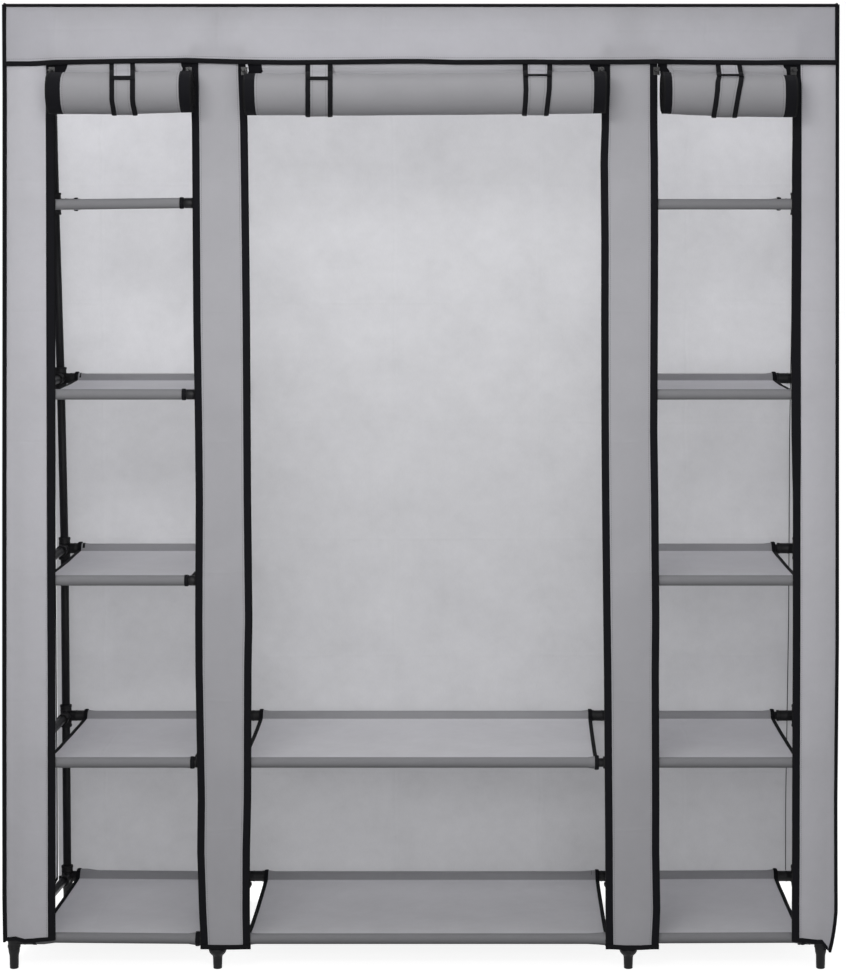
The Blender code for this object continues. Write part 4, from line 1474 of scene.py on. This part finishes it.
# %% Tables of the straps' edges and loose ends
# The straps lean, so their left and right edges are given at several heights, as seen at the roll's front.
strap_edges = {
    "left_door_strap": (
        (1.550, -0.5424, -0.4991), (1.564, -0.5446, -0.5025), (1.573, -0.5463, -0.5037),
        (1.632, -0.5459, -0.5033),
    ),
    "middle_door_strap_1": ((1.550, -0.2029, -0.1573), (1.636, -0.2026, -0.1571)),
    "middle_door_strap_2": (
        (1.550, 0.1768, 0.2217), (1.570, 0.1787, 0.2241), (1.591, 0.1796, 0.2265), (1.610, 0.1789, 0.2270),
        (1.635, 0.1780, 0.2276),
    ),
    "right_door_strap": (
        (1.547, 0.5088, 0.5520), (1.564, 0.5119, 0.5549), (1.589, 0.5150, 0.5593), (1.606, 0.5159, 0.5625),
        (1.615, 0.5182, 0.5636), (1.635, 0.5160, 0.5590),
    ),
}
# Where along the strap its loose end lies, how wide the bound end is, and how far it stands off.
loose_ends = {
    "left_door_strap": (24, 0.0071, 0.0022),
    "middle_door_strap_1": (23, 0.0062, 0.0022),
    "middle_door_strap_2": (21, 0.0036, 0.0034),
    "right_door_strap": (19, 0.0042, 0.0040),
}


# %% The cloth of one strap
def make_strap(door, edges, last, bar, stand_off):
    line = strap_line()
    heights_of, lefts, rights = zip(*edges)
    along = lengths_along(np.array(line))
    eye = camera.location
    points, cloth, seam = [], [], []
    for number, ((y, z), distance) in enumerate(zip(line, along)):
        if 1 < number < len(line) - 3:
            z += roll_shift(door, (lefts[0] + rights[0]) / 2)
        seen_z = z if number < LAST_SEEN else heights_of[0]
        # A place further back lies further out on the same line of sight.
        stretch = (y - eye.y) / (roll_y - ROLL_RADIUS - eye.y)
        seen = (np.interp(seen_z, heights_of, places) for places in (lefts, rights))
        left, right = (eye.x + (x - eye.x) * stretch for x in seen)
        marks = np.linspace(left, right, 7)
        points.append([(mark, y, z) for mark in marks])
        cloth.append([(mark - left, distance) for mark in marks])
        seam.append([(min(mark - left, right - mark) - WIDE_BINDING, distance) for mark in marks])
    order = [row[::-1] for row in points]
    outward = face_directions(np.array(order))
    work = Work()
    lay_cloth(work, order, cloth, seam, 0.0012)
    # The loose end is a second layer on the strap's top, painted lighter than the strap as light, and its
    # bound end crosses the strap.
    top = np.array(order)[: last + 1, 1:6] + outward[: last + 1, 1:6] * 0.0012
    spots = [[row[1:6] for row in rows[: last + 1]] for rows in (cloth, seam)]
    lay_cloth(work, top, *spots, 0.0010, 2)
    for column, inward in ((0, RIGHT), (6, LEFT)):
        edge = [row[column] for row in points]
        bind_edge(work, edge, inward, outward[:, 6 - column], WIDE_BINDING, 0.0032, 1)
    end = np.array(points[last]) + outward[last][3] * stand_off
    upward = Vector(points[last - 1][3]) - Vector(points[last][3])
    bind_edge(work, end, tuple(upward.normalized()), tuple(outward[last][3]), bar, 0.0026, 1)
    return work, along[-1]


# %% Make the four straps
for node, edges in strap_edges.items():
    door = node.split("_strap")[0]
    work, length = make_strap(door, edges, *loose_ends[node])
    # The strap takes the rolls' darker cloth as painted shade, and its loose end the cover's grey as painted
    # light.
    item = work.make(node + "_cloth", [shaded_roll_cloth, binding, cover_cloth])
    place_piece(item, WARDROBE, "cover_cloth", node)
    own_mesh(item)
print(len(strap_edges), "straps hold the rolls")

# %% [markdown]
# ## The zip sliders and pulls
# These small metal parts already have their true shape in the model. Fine bevels catch the light on their
# edges, and the worn metal finish does the rest.

# %% Finish the sliders and pulls
for number in range(1, 7):
    for node in (f"zip_slider_{number}", f"zip_pull_{number}"):
        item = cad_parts[node]
        for slot in item.material_slots:
            slot.material = zip_metal
        bevel = item.modifiers.new("fine edges", "BEVEL")
        bevel.width = 0.00035
        bevel.segments = 2
        bevel.limit_method = "ANGLE"
        bevel.angle_limit = math.radians(35)
print("12 zip parts finished")

# %% [markdown]
# ## Floor, daylight and lamps
# The studio is white. The floor and the sky are white only where the camera or a reflection sees them, and
# the floor keeps the wardrobe's soft shadow. Two lamps in front and one above light the cover, so that the
# cloth darkens towards the floor. Three lamps behind shine through the back panel, which makes it the
# brightest cloth, and weak daylight fills the rest.


# %% Sky and floor
def seen_directly(tree):
    path = put(tree, "LightPath")
    seen = path["Is Camera Ray"].step("MAXIMUM", path["Is Glossy Ray"])
    return seen.step("MAXIMUM", path["Is Transmission Ray"])


WHITE = (1, 1, 1, 1)
world = bpy.data.worlds.new("daylight")
bpy.context.scene.world = world
world.use_nodes = True
tree = world.node_tree
fill = tree.nodes["Background"]
join(tree, fill.inputs, {"Color": WHITE, "Strength": 0.28})
white = put(tree, "Background", {"Color": WHITE, "Strength": 1.0})[0]
mix = put(tree, "MixShader", {0: seen_directly(tree), 1: Wire(fill.outputs[0]), 2: white})[0]
join(tree, tree.nodes["World Output"].inputs, {"Surface": mix})

bpy.ops.mesh.primitive_plane_add(size=60, location=(0, 0, 0))
floor = bpy.context.object
floor.name = "studio_floor"
floor_material = bpy.data.materials.new("studio floor")
floor_material.use_nodes = True
tree = floor_material.node_tree
tree.nodes.remove(tree.nodes["Principled BSDF"])
seen = seen_directly(tree)
tone = put(tree, "MapRange", {"Value": seen, "To Min": 0.20, "To Max": 0.45})[0]
matt = put(tree, "BsdfDiffuse", {"Color": tone})[0]
glow = put(tree, "Emission", {"Color": WHITE, "Strength": seen * 0.88})[0]
both = put(tree, "AddShader", {0: matt, 1: glow})[0]
join(tree, tree.nodes["Material Output"].inputs, {"Surface": both})
floor.data.materials.append(floor_material)

# %% Six lamps
# Each lamp: its place, where it aims, its size, its power in watts and its spread in degrees.
lamps = {
    "front_lamp": ((0.05, -2.4, 1.10), (0.05, 0, 1.10), (1.7, 0.5), 6.4, 120),
    "high_front_lamp": ((-0.5, -2.4, 2.20), (-0.25, 0, 1.30), (1.7, 0.5), 8.0, 110),
    "roof_lamp": ((0, -0.9, 4.3), (0, -0.1, 0.5), (3.4, 2.4), 20, 180),
    "left_back_lamp": ((-0.85, 1.1, 1.85), (-0.56, 0.26, 1.3), (0.5, 0.5), 6.2, 120),
    "middle_back_lamp": ((0, 1.3, 1.75), (0, 0.26, 1.2), (0.6, 0.5), 1.9, 120),
    "right_back_lamp": ((0.85, 1.1, 1.85), (0.56, 0.26, 1.3), (0.5, 0.5), 4.9, 120),
}
for name, (place, aim, size, watts, spread) in lamps.items():
    lamp = bpy.data.lights.new(name, "AREA")
    lamp.shape = "RECTANGLE"
    lamp.size, lamp.size_y = size
    lamp.energy = watts
    lamp.spread = math.radians(spread)
    item = bpy.data.objects.new(name, lamp)
    bpy.context.scene.collection.objects.link(item)
    item.location = place
    item.rotation_euler = (Vector(aim) - Vector(place)).to_track_quat("-Z", "Y").to_euler()
    item.visible_camera = False
bpy.context.scene.view_settings.view_transform = "Standard"
print("lamps:", list(lamps))
